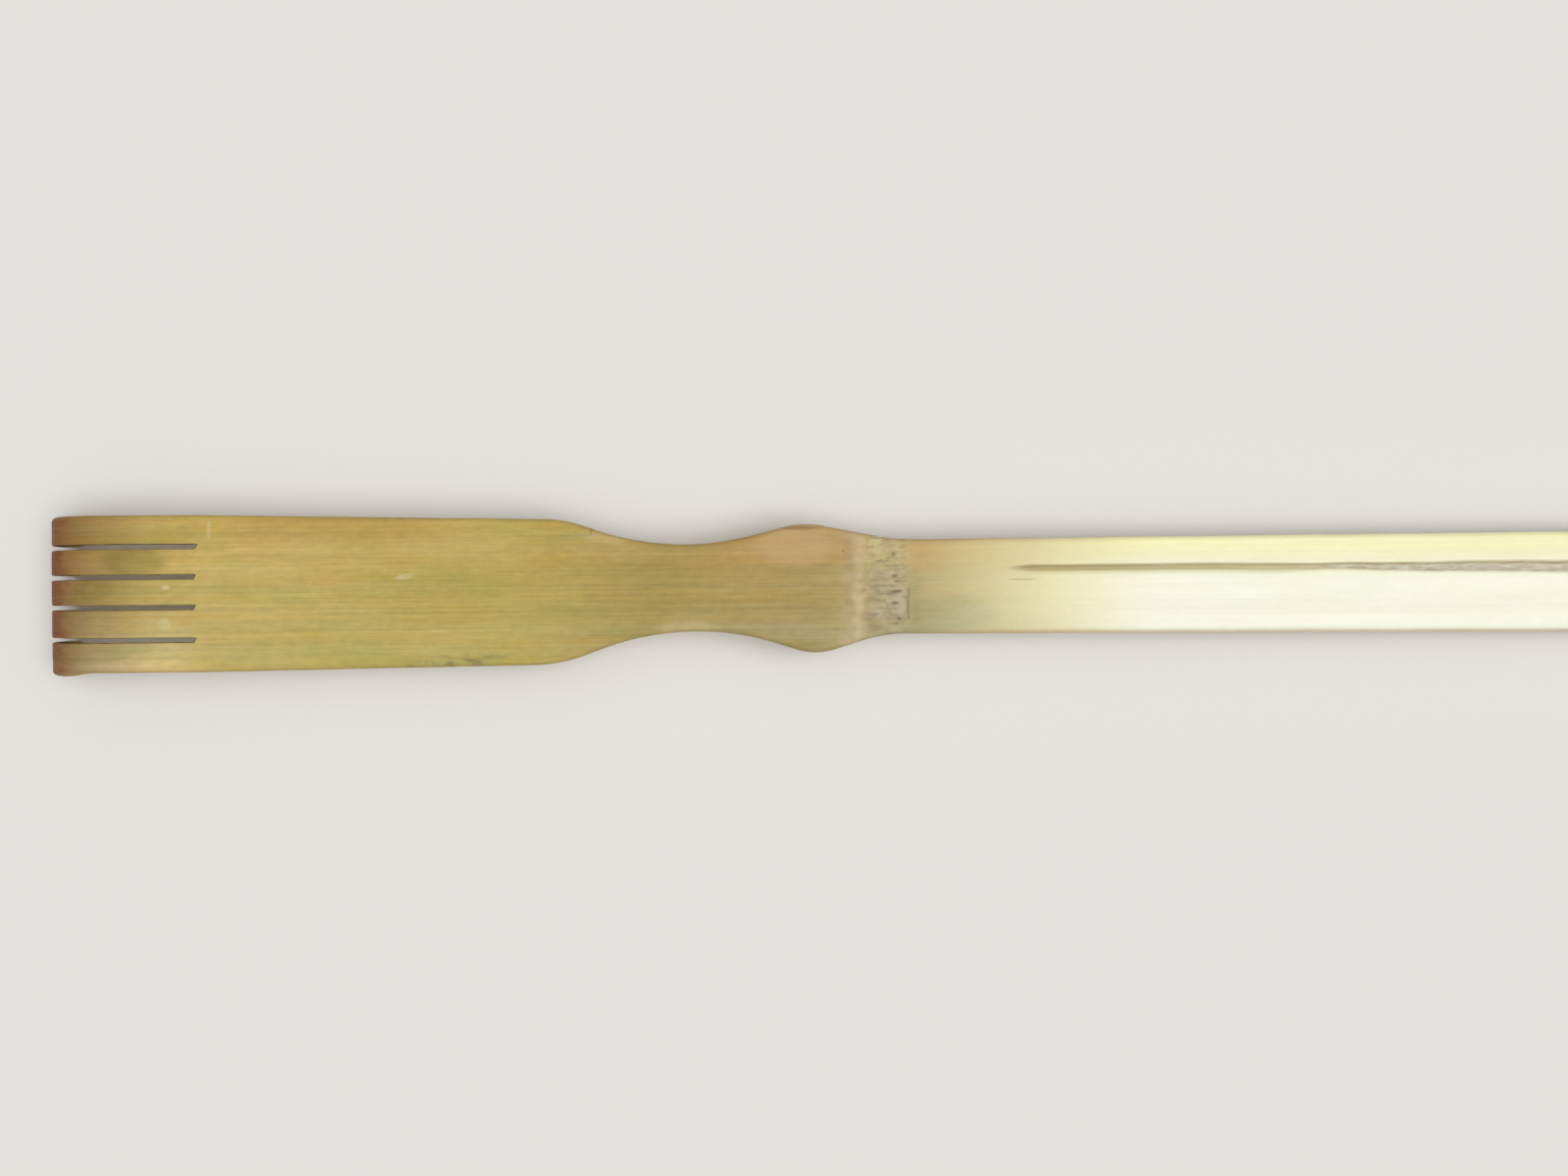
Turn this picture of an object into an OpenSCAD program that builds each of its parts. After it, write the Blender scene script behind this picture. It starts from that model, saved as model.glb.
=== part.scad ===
// Bamboo back scratcher.
// It is one strip split from a bamboo stem, lying skin side up: five sawn fingers bent over at
// the tips, a palm, a waist and a bulge, the stem's own node, and a long handle with a hanging hole.
// A place on the strip is given as s, the distance along the skin from the front of the claw,
// y, the distance across it towards the left edge, and the depth below the skin.
// The claw is the flat strip wrapped round its bend, so s goes below zero round the front of it.
// The finished strip leans until its fingertips and its butt rest on one level surface.

/* [Strip] */
// Length from the front of the claw to the butt
overall_length = 430; // [400:1:500]
// Thickness of the strip from the node to the butt
grip_thickness = 5.8; // [4.8:0.1:7]
// Radius of the stem that the strip was split from
stem_radius = 42; // [34:1:60]
// Radius of the worn edges on the skin side
edge_round = 1; // [0.5:0.1:1.2]
// Radius of the worn edges on the inner side
back_round = 0.6; // [0.3:0.1:0.8]

/* [Claw] */
// Width across the five fingers
hand_width = 30.2; // [27:0.1:34]
// Distance from the front of the claw to the roots of the fingers
finger_length = 31.5; // [27:0.5:38]
// Width of the saw cuts between the fingers
kerf_width = 0.95; // [0.6:0.05:1.4]
// How far each saw cut has drifted to the left of an even spacing
kerf_drift = [-0.05, 0.2, 0.4, 0.2]; // [-0.5:0.05:0.5]
// How far the first saw cut runs on into the palm
kerf_overrun = 1.5; // [0.5:0.1:3]
// Radius of the eased edges along the saw cuts
kerf_edge = 0.3; // [0.1:0.1:0.5]
// Radius of the bend, measured on the skin
bend_radius = 13; // [11:0.5:15]
// Angle that the fingers are bent through
bend_angle = 100; // [90:1:110]
// Length of the straight tip past the bend
tip_length = 3; // [2:0.5:6]
// Radius of each fingertip's corners
tip_round = 1.8; // [1:0.1:2]
// Radius of the edges at the end of each fingertip
tip_edge = 0.6; // [0.3:0.1:0.8]
// Thickness at the fingertips
tip_thickness = 2.2; // [2:0.1:3]
// Thickness at the roots of the fingers
root_thickness = 3.6; // [3:0.1:4.2]
// Radius of the crown across the fingers and the palm
hand_radius = 150; // [100:5:300]
// Gap at the root of each finger, where it flexes
flex_gap = 0.15; // [0.13:0.01:0.3]

/* [Palm] */
// Distance from the front of the claw to the shoulders
shoulder_at = 96.5; // [88:0.5:104]
// Width of the palm at the shoulders
palm_width = 28.2; // [25:0.1:32]
// How far the palm lies to the left of the centre line
palm_offset = -0.25; // [-1:0.05:1]
// Radius of the shoulders
shoulder_radius = 27; // [15:1:40]
// Thickness of the palm at the shoulders
palm_thickness = 4.2; // [3.6:0.1:5]

/* [Waist and bulge] */
// Distance from the front of the claw to the waist
waist_at = 126; // [120:0.5:132]
// Width of the waist
waist_width = 16.9; // [14:0.1:20]
// How far the waist lies to the left of the centre line
waist_offset = 0.3; // [-1:0.05:1]
// Radius of the hollow at the waist
waist_radius = 52; // [30:1:70]
// Distance from the front of the claw to the crests of the bulge
bulge_at = 149.5; // [144:0.5:154]
// Width of the bulge
bulge_width = 24.9; // [22:0.1:28]
// How far the right crest of the bulge lies behind the left one
bulge_skew = 2; // [-4:0.1:4]
// Radius of the bulge's crests
bulge_radius = 15; // [8:0.5:25]

/* [Node of the stem] */
// Distance from the front of the claw to the front of the node
node_at = 157; // [155:0.5:160]
// Length of the node, from its ridge to its leaf scar
node_length = 13; // [10:0.5:18]
// Height of the ridge
ridge_height = 0.8; // [0.4:0.1:1.5]
// Width of the ridge
ridge_width = 3.6; // [2:0.1:5]
// Height of the leaf scar
scar_height = 0.4; // [0.2:0.1:0.8]
// Width of the leaf scar
scar_width = 2; // [1:0.1:3]

/* [Handle] */
// Distance from the front of the claw to where the bulge has run out into the handle
flare_at = 169; // [165:0.5:180]
// Width of the handle there
flare_width = 18.35; // [15:0.05:21]
// How far the handle lies to the left of the centre line there
flare_offset = 0.25; // [-1:0.05:1]
// Radius of the hollow where the bulge runs out
flare_radius = 33; // [20:1:50]
// Width of the handle at the butt
butt_width = 21.4; // [18:0.1:24]
// Distance from the front of the claw to the start of the groove
groove_at = 188; // [180:1:240]
// How far the groove lies to the left of the centre line
groove_offset = 3.7; // [2.5:0.1:4.5]
// Width of the groove
groove_width = 3.2; // [2:0.1:4]
// Depth of the groove
groove_depth = 0.8; // [0.3:0.1:1.2]
// Length over which the groove fades out at each end
groove_fade = 60; // [20:1:80]

/* [Butt] */
// Length of the butt
butt_length = 30; // [24:1:50]
// Radius of the butt's corners
butt_round = 6; // [3:0.5:8]
// Diameter of the hanging hole
hole_diameter = 5; // [3:0.1:8]
// Distance from the end of the butt to the centre of the hanging hole
hole_inset = 12; // [10:0.5:16]
// Width of the flat that is pared on the skin round the hanging hole
hole_land = 0.8; // [0.5:0.1:2]

/* [Hidden] */
finger_count = 5;

scraped_colour = [0.74, 0.65, 0.37];
toasted_colour = [0.62, 0.46, 0.27];
ridge_colour = [0.69, 0.63, 0.49];
rind_colour = [0.86, 0.8, 0.56];

// Where the strip is divided
palm_start = finger_length;
neck_start = shoulder_at;
handle_start = node_at + node_length;
butt_start = overall_length - butt_length;
bend_length = bend_radius * bend_angle * PI / 180;
tip_start = bend_radius - bend_length - tip_length;
ridge_at = node_at + ridge_width / 2;
scar_at = handle_start - scar_width / 2;

// How finely the curved stretches are stepped
finger_steps = 20;
palm_step = 8;
neck_step = 1.5;
node_step = 0.5;
handle_step = 6;
corner_steps = 8;
tip_corner_steps = 4;
edge_fractions = [0, 0.08, 0.35, 1];
back_fractions = [0, 0.3, 1];
groove_fractions = [-1, -0.5, 0, 0.5, 1];
finger_spread = 3;
right_spread = 6;
left_spread = 3;
butt_spread = 4;
past = 1;

// How far an edge of the given radius falls away, at a distance q inside it
function fall(q, radius) =
    let (short = radius - max(q, 0))
    short <= 0 ? 0 : radius - sqrt(radius * radius - short * short);

// A smooth swelling, 1 in the middle and nothing from -1 and 1 outwards
function swell(q) = abs(q) < 1 ? (1 + cos(180 * q)) / 2 : 0;

function steps_between(first, last, step) =
    let (count = ceil((last - first) / step))
    [for (i = [0:count]) first + (last - first) * i / count];

// Steps along a rounded corner that ends at zero, close together at its end
function corner_reach(radius, count) = [for (i = [0:count]) radius * (1 - cos(90 * i / count))];

function reversed(list) = [for (i = [len(list) - 1:-1:0]) list[i]];

// A place on the strip, wrapped round the bend of the claw
function strip_point(s, y, depth) =
    let (round_bend = max(bend_radius - s, 0),
         angle = min(round_bend / bend_radius * 180 / PI, bend_angle),
         straight = max(round_bend - bend_length, 0))
    [max(s, bend_radius) - bend_radius * sin(angle) - straight * cos(angle) + depth * sin(angle),
     y,
     -bend_radius * (1 - cos(angle)) - straight * sin(angle) - depth * cos(angle)];

// The edge between two crests or hollows, each given as its place, half width and radius.
// Two arcs meet on a common tangent, and arcs that are too large for that are eased alike.
function edge_between(s, from, to) =
    let (run = to[0] - from[0],
         rise = abs(to[1] - from[1]),
         turn = sign(from[1] - to[1]),
         room = (run * run + rise * rise) / (2 * rise),
         ease = min(1, room / (from[2] + to[2])),
         from_radius = from[2] * ease,
         to_radius = to[2] * ease,
         from_centre = from[1] - turn * from_radius,
         to_centre = to[1] + turn * to_radius,
         reach = norm([run, to_centre - from_centre]),
         lap = min(1, (from_radius + to_radius) / reach),
         angle = atan2(to_centre - from_centre, run) - turn * asin(lap),
         line_from = from[0] + from_radius * sin(abs(angle)),
         line_to = to[0] - to_radius * sin(abs(angle)))
    s < line_from ? from_centre + turn * sqrt(max(0, from_radius ^ 2 - (s - from[0]) ^ 2))
    : s > line_to ? to_centre - turn * sqrt(max(0, to_radius ^ 2 - (s - to[0]) ^ 2))
    : from_centre + turn * from_radius * cos(angle) + tan(angle) * (s - line_from);

// The shoulder, waist, bulge and flare of the left edge, side 1, or the right edge, side -1
function edge_stations(side) = [
    [shoulder_at, palm_width / 2 + side * palm_offset, shoulder_radius],
    [waist_at, waist_width / 2 + side * waist_offset, waist_radius],
    [bulge_at - side * bulge_skew / 2, bulge_width / 2, bulge_radius],
    [flare_at, flare_width / 2 + side * flare_offset, flare_radius]];

// Distance from the centre line to an edge of the strip
function edge_line(s, side) =
    let (stations = edge_stations(side),
         shoulder = stations[0],
         flare = stations[3])
    s <= shoulder[0] ? lookup(s, [[finger_length, hand_width / 2], [shoulder[0], shoulder[1]]])
    : s < stations[1][0] ? edge_between(s, shoulder, stations[1])
    : s < stations[2][0] ? edge_between(s, stations[1], stations[2])
    : s < flare[0] ? edge_between(s, stations[2], flare)
    : lookup(s, [[flare[0], flare[1]], [overall_length, butt_width / 2]]);

function edge(s, side) = edge_line(s, side) - fall(overall_length - s, butt_round);

function thickness(s) = lookup(s, [
    [tip_start, tip_thickness],
    [finger_length, root_thickness],
    [shoulder_at, palm_thickness],
    [node_at, grip_thickness]]);

// Depth of the skin's crown below its middle
function crown(s, y) =
    y * y / 2 * lookup(s, [[shoulder_at, 1 / hand_radius], [node_at, 1 / stem_radius]]);

// How far the inner side follows the crown: all the way in the hand, flat in the handle
function hollowing(s) = lookup(s, [[shoulder_at, 1], [node_at, 0]]);

function groove_share(s) = lookup(s, [
    [groove_at, 0],
    [groove_at + groove_fade, 1],
    [butt_start - groove_fade, 1],
    [butt_start, 0]]);

// Height of the node's ridge and leaf scar above the skin, less the groove
function relief(s, y) =
    ridge_height * swell((s - ridge_at) / (ridge_width / 2))
    + scar_height * swell((s - scar_at) / (scar_width / 2))
    - groove_depth * groove_share(s) * swell((y - groove_offset) / (groove_width / 2));

function skin_depth(s, y) = crown(s, y) - relief(s, y);

function back_depth(s, y) = thickness(s) + hollowing(s) * crown(s, y);

// Places across the skin, close together at its two edges, with the given places between them
function across(right, left, right_edge, left_edge, between) = concat(
    [for (f = edge_fractions) right + f * right_edge],
    between,
    reversed([for (f = edge_fractions) left - f * left_edge]));

function back_across(right, left) = concat(
    [for (f = back_fractions) left - f * back_round],
    reversed([for (f = back_fractions) right + f * back_round]));

function spread(right, left, count) = [for (i = [1:count]) right + (left - right) * i / (count + 1)];

// One cross-section of the strip, along the skin from right to left and back along the inner side.
// The end gap is the distance to the strip's nearest end, whose edge has the end's radius.
function section(s, right, left, right_edge, left_edge, between, end_gap, end_edge) = concat(
    [for (y = across(right, left, right_edge, left_edge, between))
        let (worn = max(fall(y - right, right_edge), fall(left - y, left_edge), fall(end_gap, end_edge)))
        strip_point(s, y, skin_depth(s, y) + worn)],
    [for (y = back_across(right, left))
        let (worn = max(fall(y - right, back_round), fall(left - y, back_round),
                        fall(end_gap, min(end_edge, back_round))))
        strip_point(s, y, back_depth(s, y) - worn)]);

// A cross-section of the strip behind the fingers, with a run of fixed places between its two edges
function strip_section(s, run, right_count, left_count) =
    let (right = -edge(s, -1),
         left = edge(s, 1),
         between = concat(spread(right + edge_round, run[0], right_count),
                          run,
                          spread(run[len(run) - 1], left - edge_round, left_count)))
    section(s, right, left, edge_round, edge_round, between, overall_length - s, edge_round);

// Middle of the saw cut to the right of a finger
function kerf_line(i) = hand_width * (0.5 - i / finger_count) + kerf_drift[i - 1];

function finger_left(i) = i == 1 ? hand_width / 2 : kerf_line(i - 1) - kerf_width / 2;

function finger_right(i) = i == finger_count ? -hand_width / 2 : kerf_line(i) + kerf_width / 2;

// A cross-section of one finger, drawn in at the corners of its tip
function finger_section(i, s) =
    let (corner = min(tip_round, 0.45 * (finger_left(i) - finger_right(i))),
         drawn_in = fall(s - tip_start, corner),
         right = finger_right(i) + drawn_in,
         left = finger_left(i) - drawn_in,
         right_edge = i == finger_count ? edge_round : kerf_edge,
         left_edge = i == 1 ? edge_round : kerf_edge)
    section(s, right, left, right_edge, left_edge,
            spread(right + right_edge, left - left_edge, finger_spread), s - tip_start, tip_edge);

// Lean of the strip when its fingertips and its butt touch one level surface.
// Each rests on the round of an edge, given here as the centre of that round in x and z.
tip_rest_point = strip_point(tip_start + tip_edge, 0, tip_edge);
tip_rest = [tip_rest_point.x, tip_rest_point.z];
butt_rest = [overall_length - back_round, back_round - grip_thickness];
rest_span = butt_rest - tip_rest;
lean = asin((tip_edge - back_round) / norm(rest_span)) + atan2(rest_span.y, rest_span.x);
rest_height = tip_edge + tip_rest.x * sin(lean) - tip_rest.y * cos(lean);
front_x = bend_radius * (cos(lean) - sin(lean)) - bend_radius;
butt_x = overall_length * cos(lean) - edge_round * sin(lean);

// Stands the strip on its fingertips and its butt, with the origin below the middle of its length
module seat() {
    translate([-(front_x + butt_x) / 2, 0, rest_height]) rotate([0, lean, 0]) children();
}

// A closed solid through a row of cross-sections, in order from the claw to the butt
module loft(sections) {
    count = len(sections[0]);
    last = len(sections) - 1;
    front = [for (k = [count - 1:-1:0]) k];
    back = [for (k = [0:count - 1]) last * count + k];
    sides = [for (r = [0:last - 1], k = [0:count - 1])
        let (here = r * count,
             next = here + count,
             beside = (k + 1) % count)
        each [[here + k, here + beside, next + beside], [here + k, next + beside, next + k]]];
    polyhedron(points = [for (ring = sections) each ring], faces = concat([front, back], sides));
}

// A stretch of the strip that the groove can run along
module stretch(places) {
    groove = [for (f = groove_fractions) groove_offset + f * groove_width / 2];
    loft([for (s = places) strip_section(s, groove, right_spread, left_spread)]);
}

module finger(i) {
    root = finger_length - flex_gap;
    corner = [for (reach = corner_reach(tip_round, tip_corner_steps)) tip_start + reach];
    rest = steps_between(tip_start + tip_round, root, (root - tip_start - tip_round) / finger_steps);
    places = concat(corner, [for (k = [1:len(rest) - 1]) rest[k]]);
    color(toasted_colour) seat() loft([for (s = places) finger_section(i, s)]);
}

// The palm, with the end of the first saw cut in its front edge
module palm() {
    color(scraped_colour) seat() difference() {
        stretch(steps_between(palm_start, neck_start, palm_step));
        translate([palm_start - past, kerf_line(1) - kerf_width / 2, -root_thickness - palm_thickness])
            cube([past + kerf_overrun, kerf_width, 2 * (root_thickness + palm_thickness)]);
    }
}

module neck() {
    color(scraped_colour) seat() stretch(steps_between(neck_start, node_at, neck_step));
}

module culm_node() {
    color(ridge_colour) seat() stretch(steps_between(node_at, handle_start, node_step));
}

module handle() {
    color(rind_colour) seat() stretch(steps_between(handle_start, butt_start, handle_step));
}

// The butt, with its rounded corners, and its hanging hole in a flat land
module butt() {
    land = hole_diameter / 2 + hole_land;
    corner_start = overall_length - butt_round;
    straight = steps_between(butt_start, corner_start, handle_step);
    corner = reversed([for (reach = corner_reach(butt_round, corner_steps)) overall_length - reach]);
    places = concat(straight, [for (k = [1:len(corner) - 1]) corner[k]]);
    color(rind_colour) seat() difference() {
        loft([for (s = places) strip_section(s, [-land, land], butt_spread, butt_spread)]);
        translate([overall_length - hole_inset, 0, -grip_thickness - past])
            cylinder(d = hole_diameter, h = grip_thickness + 2 * past, $fn = 48);
    }
}

for (i = [1:finger_count]) finger(i);
palm();
neck();
culm_node();
handle();
butt();
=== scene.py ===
"""Looks of a bamboo back scratcher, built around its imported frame.

The strip is laid out flat and then wrapped round the bend of the claw, the way the real one is made. A place
on it is s, the distance along the skin from the front of the claw, y, the distance across towards the left
edge, and the depth below the skin, all in millimetres. The meshes themselves are in metres, in the frame's
own axes.
"""

import logging
import math
from dataclasses import dataclass, replace
from enum import Enum

import bmesh
import bpy
from mathutils import Matrix, Vector, noise


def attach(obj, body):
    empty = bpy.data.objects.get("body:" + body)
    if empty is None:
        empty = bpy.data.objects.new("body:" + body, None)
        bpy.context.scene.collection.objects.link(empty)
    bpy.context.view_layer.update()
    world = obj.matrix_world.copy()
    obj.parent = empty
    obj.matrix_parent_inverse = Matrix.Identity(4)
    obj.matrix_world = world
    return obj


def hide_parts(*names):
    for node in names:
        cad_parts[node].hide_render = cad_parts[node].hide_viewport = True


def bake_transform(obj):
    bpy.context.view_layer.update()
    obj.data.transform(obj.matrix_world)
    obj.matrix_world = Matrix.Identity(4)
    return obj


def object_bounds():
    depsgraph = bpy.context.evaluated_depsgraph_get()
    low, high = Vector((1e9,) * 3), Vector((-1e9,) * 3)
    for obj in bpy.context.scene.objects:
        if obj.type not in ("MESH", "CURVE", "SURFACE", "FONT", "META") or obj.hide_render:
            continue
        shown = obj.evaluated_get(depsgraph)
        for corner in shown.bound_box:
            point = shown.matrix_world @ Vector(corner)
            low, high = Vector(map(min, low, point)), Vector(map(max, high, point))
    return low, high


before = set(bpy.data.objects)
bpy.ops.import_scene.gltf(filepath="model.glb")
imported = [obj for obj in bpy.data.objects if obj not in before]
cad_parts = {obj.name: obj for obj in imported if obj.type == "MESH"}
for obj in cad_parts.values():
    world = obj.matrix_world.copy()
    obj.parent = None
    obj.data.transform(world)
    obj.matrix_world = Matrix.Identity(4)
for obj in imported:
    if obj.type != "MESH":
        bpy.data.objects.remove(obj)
CAD_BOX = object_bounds()

LOG = logging.getLogger("back_scratcher")
# In metres: a millimetre, how near points are welded, and how short an edge is cleaned away.
MM = 0.001
WELD = 1e-7
SLIVER = 2e-6
# How near two places on the strip count as one, in millimetres.
SAME_PLACE = 0.002
Colour = tuple[float, float, float, float]
Tint = tuple[float, float, float]


class Side(Enum):
    """An edge of the strip, seen from the butt with the skin side up."""

    LEFT = 1
    RIGHT = -1


class Body(Enum):
    """The rigid bodies of the frame that a piece can ride on."""

    STRIP = "strip"
    FINGER = "finger_{}"


def srgb(red: int, green: int, blue: int) -> Colour:
    """Turns a colour as a picture holds it into the linear one that a shader takes.

    Args:
        red: Red, from 0 to 255.
        green: Green, from 0 to 255.
        blue: Blue, from 0 to 255.

    Returns:
        The linear colour, with full alpha.
    """
    def linear(value: int) -> float:
        """One channel, from 0 to 255, as a linear share."""
        share = value / 255
        return share / 12.92 if share <= 0.04045 else ((share + 0.055) / 1.055) ** 2.4

    return linear(red), linear(green), linear(blue), 1.0


def worn(inside: float, radius: float) -> float:
    """How far a rounded edge falls away.

    Args:
        inside: Distance inside the edge.
        radius: Radius of the round.

    Returns:
        The fall below the flat, nothing beyond the round.
    """
    short = radius - max(inside, 0.0)
    return radius - math.sqrt(radius * radius - short * short) if short > 0 else 0.0


def swell(reach: float) -> float:
    """A smooth swelling, 1 in the middle and nothing from -1 and 1 outwards."""
    return (1 + math.cos(math.pi * reach)) / 2 if abs(reach) < 1 else 0.0


def eased(value: float, low: float, high: float) -> float:
    """A smooth step from 0 at low to 1 at high, where low may be the larger."""
    share = min(max((value - low) / (high - low), 0.0), 1.0)
    return share * share * (3 - 2 * share)


def along_line(value: float, points: tuple[tuple[float, float], ...]) -> float:
    """Reads a line through points, level beyond its ends.

    Args:
        value: Where to read the line.
        points: Places and values, in order of place.

    Returns:
        The value there.
    """
    if value <= points[0][0]:
        return points[0][1]
    for (low, first), (high, last) in zip(points, points[1:]):
        if value <= high:
            return first + (last - first) * (value - low) / (high - low)
    return points[-1][1]


def ripple(s: float, y: float, long: float, wide: float, seed: float) -> float:
    """Smooth noise that runs along the strip.

    Args:
        s: Place along the strip.
        y: Place across it.
        long: Length of its waves along the strip.
        wide: Length of its waves across the strip.
        seed: Picks one such noise from others.

    Returns:
        A value from about -1 to 1.
    """
    return noise.noise(Vector((s / long, y / wide, seed)))


@dataclass(frozen=True)
class Station:
    """A crest or a hollow of one edge: its place, its half width and its radius."""

    at: float
    half: float
    radius: float

    def edge_to(self, other: "Station", s: float) -> float:
        """Half width between this station and the next, on two arcs and their common tangent.

        Args:
            other: The next station towards the butt.
            s: A place between the two.

        Returns:
            Distance from the centre line to the edge.
        """
        run = other.at - self.at
        rise = abs(other.half - self.half)
        turn = math.copysign(1.0, self.half - other.half)
        ease = min(1.0, (run * run + rise * rise) / (2 * rise) / (self.radius + other.radius))
        near, far = self.radius * ease, other.radius * ease
        near_centre = self.half - turn * near
        far_centre = other.half + turn * far
        lap = min(1.0, (near + far) / math.hypot(run, far_centre - near_centre))
        angle = math.atan2(far_centre - near_centre, run) - turn * math.asin(lap)
        line_from = self.at + near * math.sin(abs(angle))
        line_to = other.at - far * math.sin(abs(angle))
        if s < line_from:
            return near_centre + turn * math.sqrt(max(0.0, near ** 2 - (s - self.at) ** 2))
        if s > line_to:
            return far_centre - turn * math.sqrt(max(0.0, far ** 2 - (s - other.at) ** 2))
        return near_centre + turn * near * math.cos(angle) + math.tan(angle) * (s - line_from)


@dataclass(frozen=True)
class Strip:
    """The flat strip's sizes in millimetres, and where a place on it lies once it is bent and set down."""

    length: float = 430.0
    grip_thickness: float = 5.8
    palm_thickness: float = 4.2
    root_thickness: float = 3.6
    tip_thickness: float = 2.2
    stem_radius: float = 42.0
    hand_radius: float = 150.0
    edge_round: float = 1.0
    back_round: float = 0.6
    hand_width: float = 30.2
    finger_length: float = 31.5
    finger_count: int = 5
    kerf_width: float = 0.95
    kerf_edge: float = 0.3
    kerf_drift: tuple[float, ...] = (-0.05, 0.2, 0.4, 0.2)
    kerf_overrun: tuple[float, ...] = (0.3, 0.02, 0.02, 0.02)
    kerf_slant: float = 0.5
    bend_radius: float = 13.0
    bend_angle: float = math.radians(100)
    tip_length: float = 3.0
    tip_round: float = 1.8
    tip_edge: float = 0.6
    shoulder_at: float = 96.5
    node_at: float = 157.0
    node_length: float = 13.0
    butt_length: float = 30.0
    butt_round: float = 6.0
    butt_half: float = 10.7
    hole_radius: float = 2.5
    hole_inset: float = 12.0
    hole_land: float = 0.8
    left_edge: tuple[Station, ...] = (
        Station(97.5, 13.85, 24), Station(125.0, 8.74, 52),
        Station(148.5, 12.5, 17.5), Station(169.5, 9.42, 37))
    right_edge: tuple[Station, ...] = (
        Station(95.7, 14.35, 29), Station(127.0, 8.15, 52),
        Station(150.5, 12.45, 12.4), Station(168.0, 8.94, 30))
    edge_wobble: float = 0.07
    wobble_length: float = 9.0
    bend_crown: float = 0.15
    tip_flare: float = 0.7
    flare_from: float = 12.0
    flare_to: float = 4.0

    @property
    def bend_length(self) -> float:
        """Length of the skin round the bend."""
        return self.bend_radius * self.bend_angle

    @property
    def tip_at(self) -> float:
        """Place of the fingertips' ends."""
        return self.bend_radius - self.bend_length - self.tip_length

    @property
    def waist_at(self) -> float:
        """Place of the waist, on the left edge."""
        return self.left_edge[1].at

    @property
    def handle_at(self) -> float:
        """Place where the node ends and the handle starts."""
        return self.node_at + self.node_length

    @property
    def butt_at(self) -> float:
        """Place where the handle ends and the butt starts."""
        return self.length - self.butt_length

    @property
    def hole_at(self) -> float:
        """Place of the hanging hole's centre."""
        return self.length - self.hole_inset

    @property
    def inner_half(self) -> float:
        """Half the claw's width between its two rounded outer edges."""
        return self.hand_width / 2 - self.edge_round

    def bent(self, s: float, depth: float) -> tuple[float, float]:
        """Wraps a place round the bend of the claw.

        Args:
            s: Place along the skin.
            depth: Depth below the skin.

        Returns:
            Its x and z with the strip level and the skin at zero.
        """
        past = max(self.bend_radius - s, 0.0)
        angle = min(past / self.bend_radius, self.bend_angle)
        straight = max(past - self.bend_length, 0.0)
        sine, cosine = math.sin(angle), math.cos(angle)
        x = max(s, self.bend_radius) - self.bend_radius * sine - straight * cosine + depth * sine
        z = -self.bend_radius * (1 - cosine) - straight * sine - depth * cosine
        return x, z

    @property
    def lean(self) -> float:
        """Angle at which the fingertips and the butt rest on one level surface.

        Returns:
            The angle in radians.
        """
        tip_x, tip_z = self.bent(self.tip_at + self.tip_edge, self.tip_edge)
        butt_x, butt_z = self.length - self.back_round, self.back_round - self.grip_thickness
        span = math.hypot(butt_x - tip_x, butt_z - tip_z)
        rolled = math.asin((self.tip_edge - self.back_round) / span)
        return rolled + math.atan2(butt_z - tip_z, butt_x - tip_x)

    def seat(self) -> Matrix:
        """Sets the level strip down on the frame's floor.

        Returns:
            The matrix, from millimetres on the level strip to metres in the frame.
        """
        lean = self.lean
        tip_x, tip_z = self.bent(self.tip_at + self.tip_edge, self.tip_edge)
        height = self.tip_edge + tip_x * math.sin(lean) - tip_z * math.cos(lean)
        front = self.bend_radius * (math.cos(lean) - math.sin(lean)) - self.bend_radius
        moved = Matrix.Translation((CAD_BOX[0].x - front * MM, 0.0, height * MM))
        return moved @ Matrix.Rotation(lean, 4, "Y") @ Matrix.Scale(MM, 4)

    def edge(self, s: float, side: Side) -> float:
        """Distance from the centre line to an edge of the strip, behind the fingers.

        Args:
            s: Place along the strip.
            side: Which edge.

        Returns:
            The half width on that side.
        """
        stations = self.left_edge if side is Side.LEFT else self.right_edge
        first, last = stations[0], stations[-1]
        if s <= first.at:
            half = along_line(s, ((self.finger_length, self.hand_width / 2), (first.at, first.half)))
        elif s >= last.at:
            half = along_line(s, ((last.at, last.half), (self.length, self.butt_half)))
        else:
            half = next(a.edge_to(b, s) for a, b in zip(stations, stations[1:]) if s <= b.at)
        uneven = self.edge_wobble * ripple(s, 0, self.wobble_length, 1, side.value * 7.3)
        return half + uneven - worn(self.length - s, self.butt_round)

    def kerf_line(self, cut: int) -> float:
        """Middle of a saw cut, counted from 1 at the left."""
        return self.hand_width * (0.5 - cut / self.finger_count) + self.kerf_drift[cut - 1]

    def thickness(self, s: float) -> float:
        """Thickness of the strip at a place along it."""
        return along_line(s, (
            (self.tip_at, self.tip_thickness),
            (self.finger_length, self.root_thickness),
            (self.shoulder_at, self.palm_thickness),
            (self.node_at, self.grip_thickness)))

    def crown(self, s: float, y: float) -> float:
        """Depth of the skin's crown below its middle, pressed almost flat round the bend.

        Args:
            s: Place along the strip.
            y: Place across it.

        Returns:
            The depth, level on the land round the hanging hole.
        """
        curve = along_line(s, (
            (0.0, self.bend_crown / self.hand_radius), (self.finger_length, 1 / self.hand_radius),
            (self.shoulder_at, 1 / self.hand_radius), (self.node_at, 1 / self.stem_radius)))
        land = self.hole_radius + self.hole_land
        flat = eased(s, self.butt_at, self.hole_at - land)
        return curve / 2 * max(y * y, flat * land * land)

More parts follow.
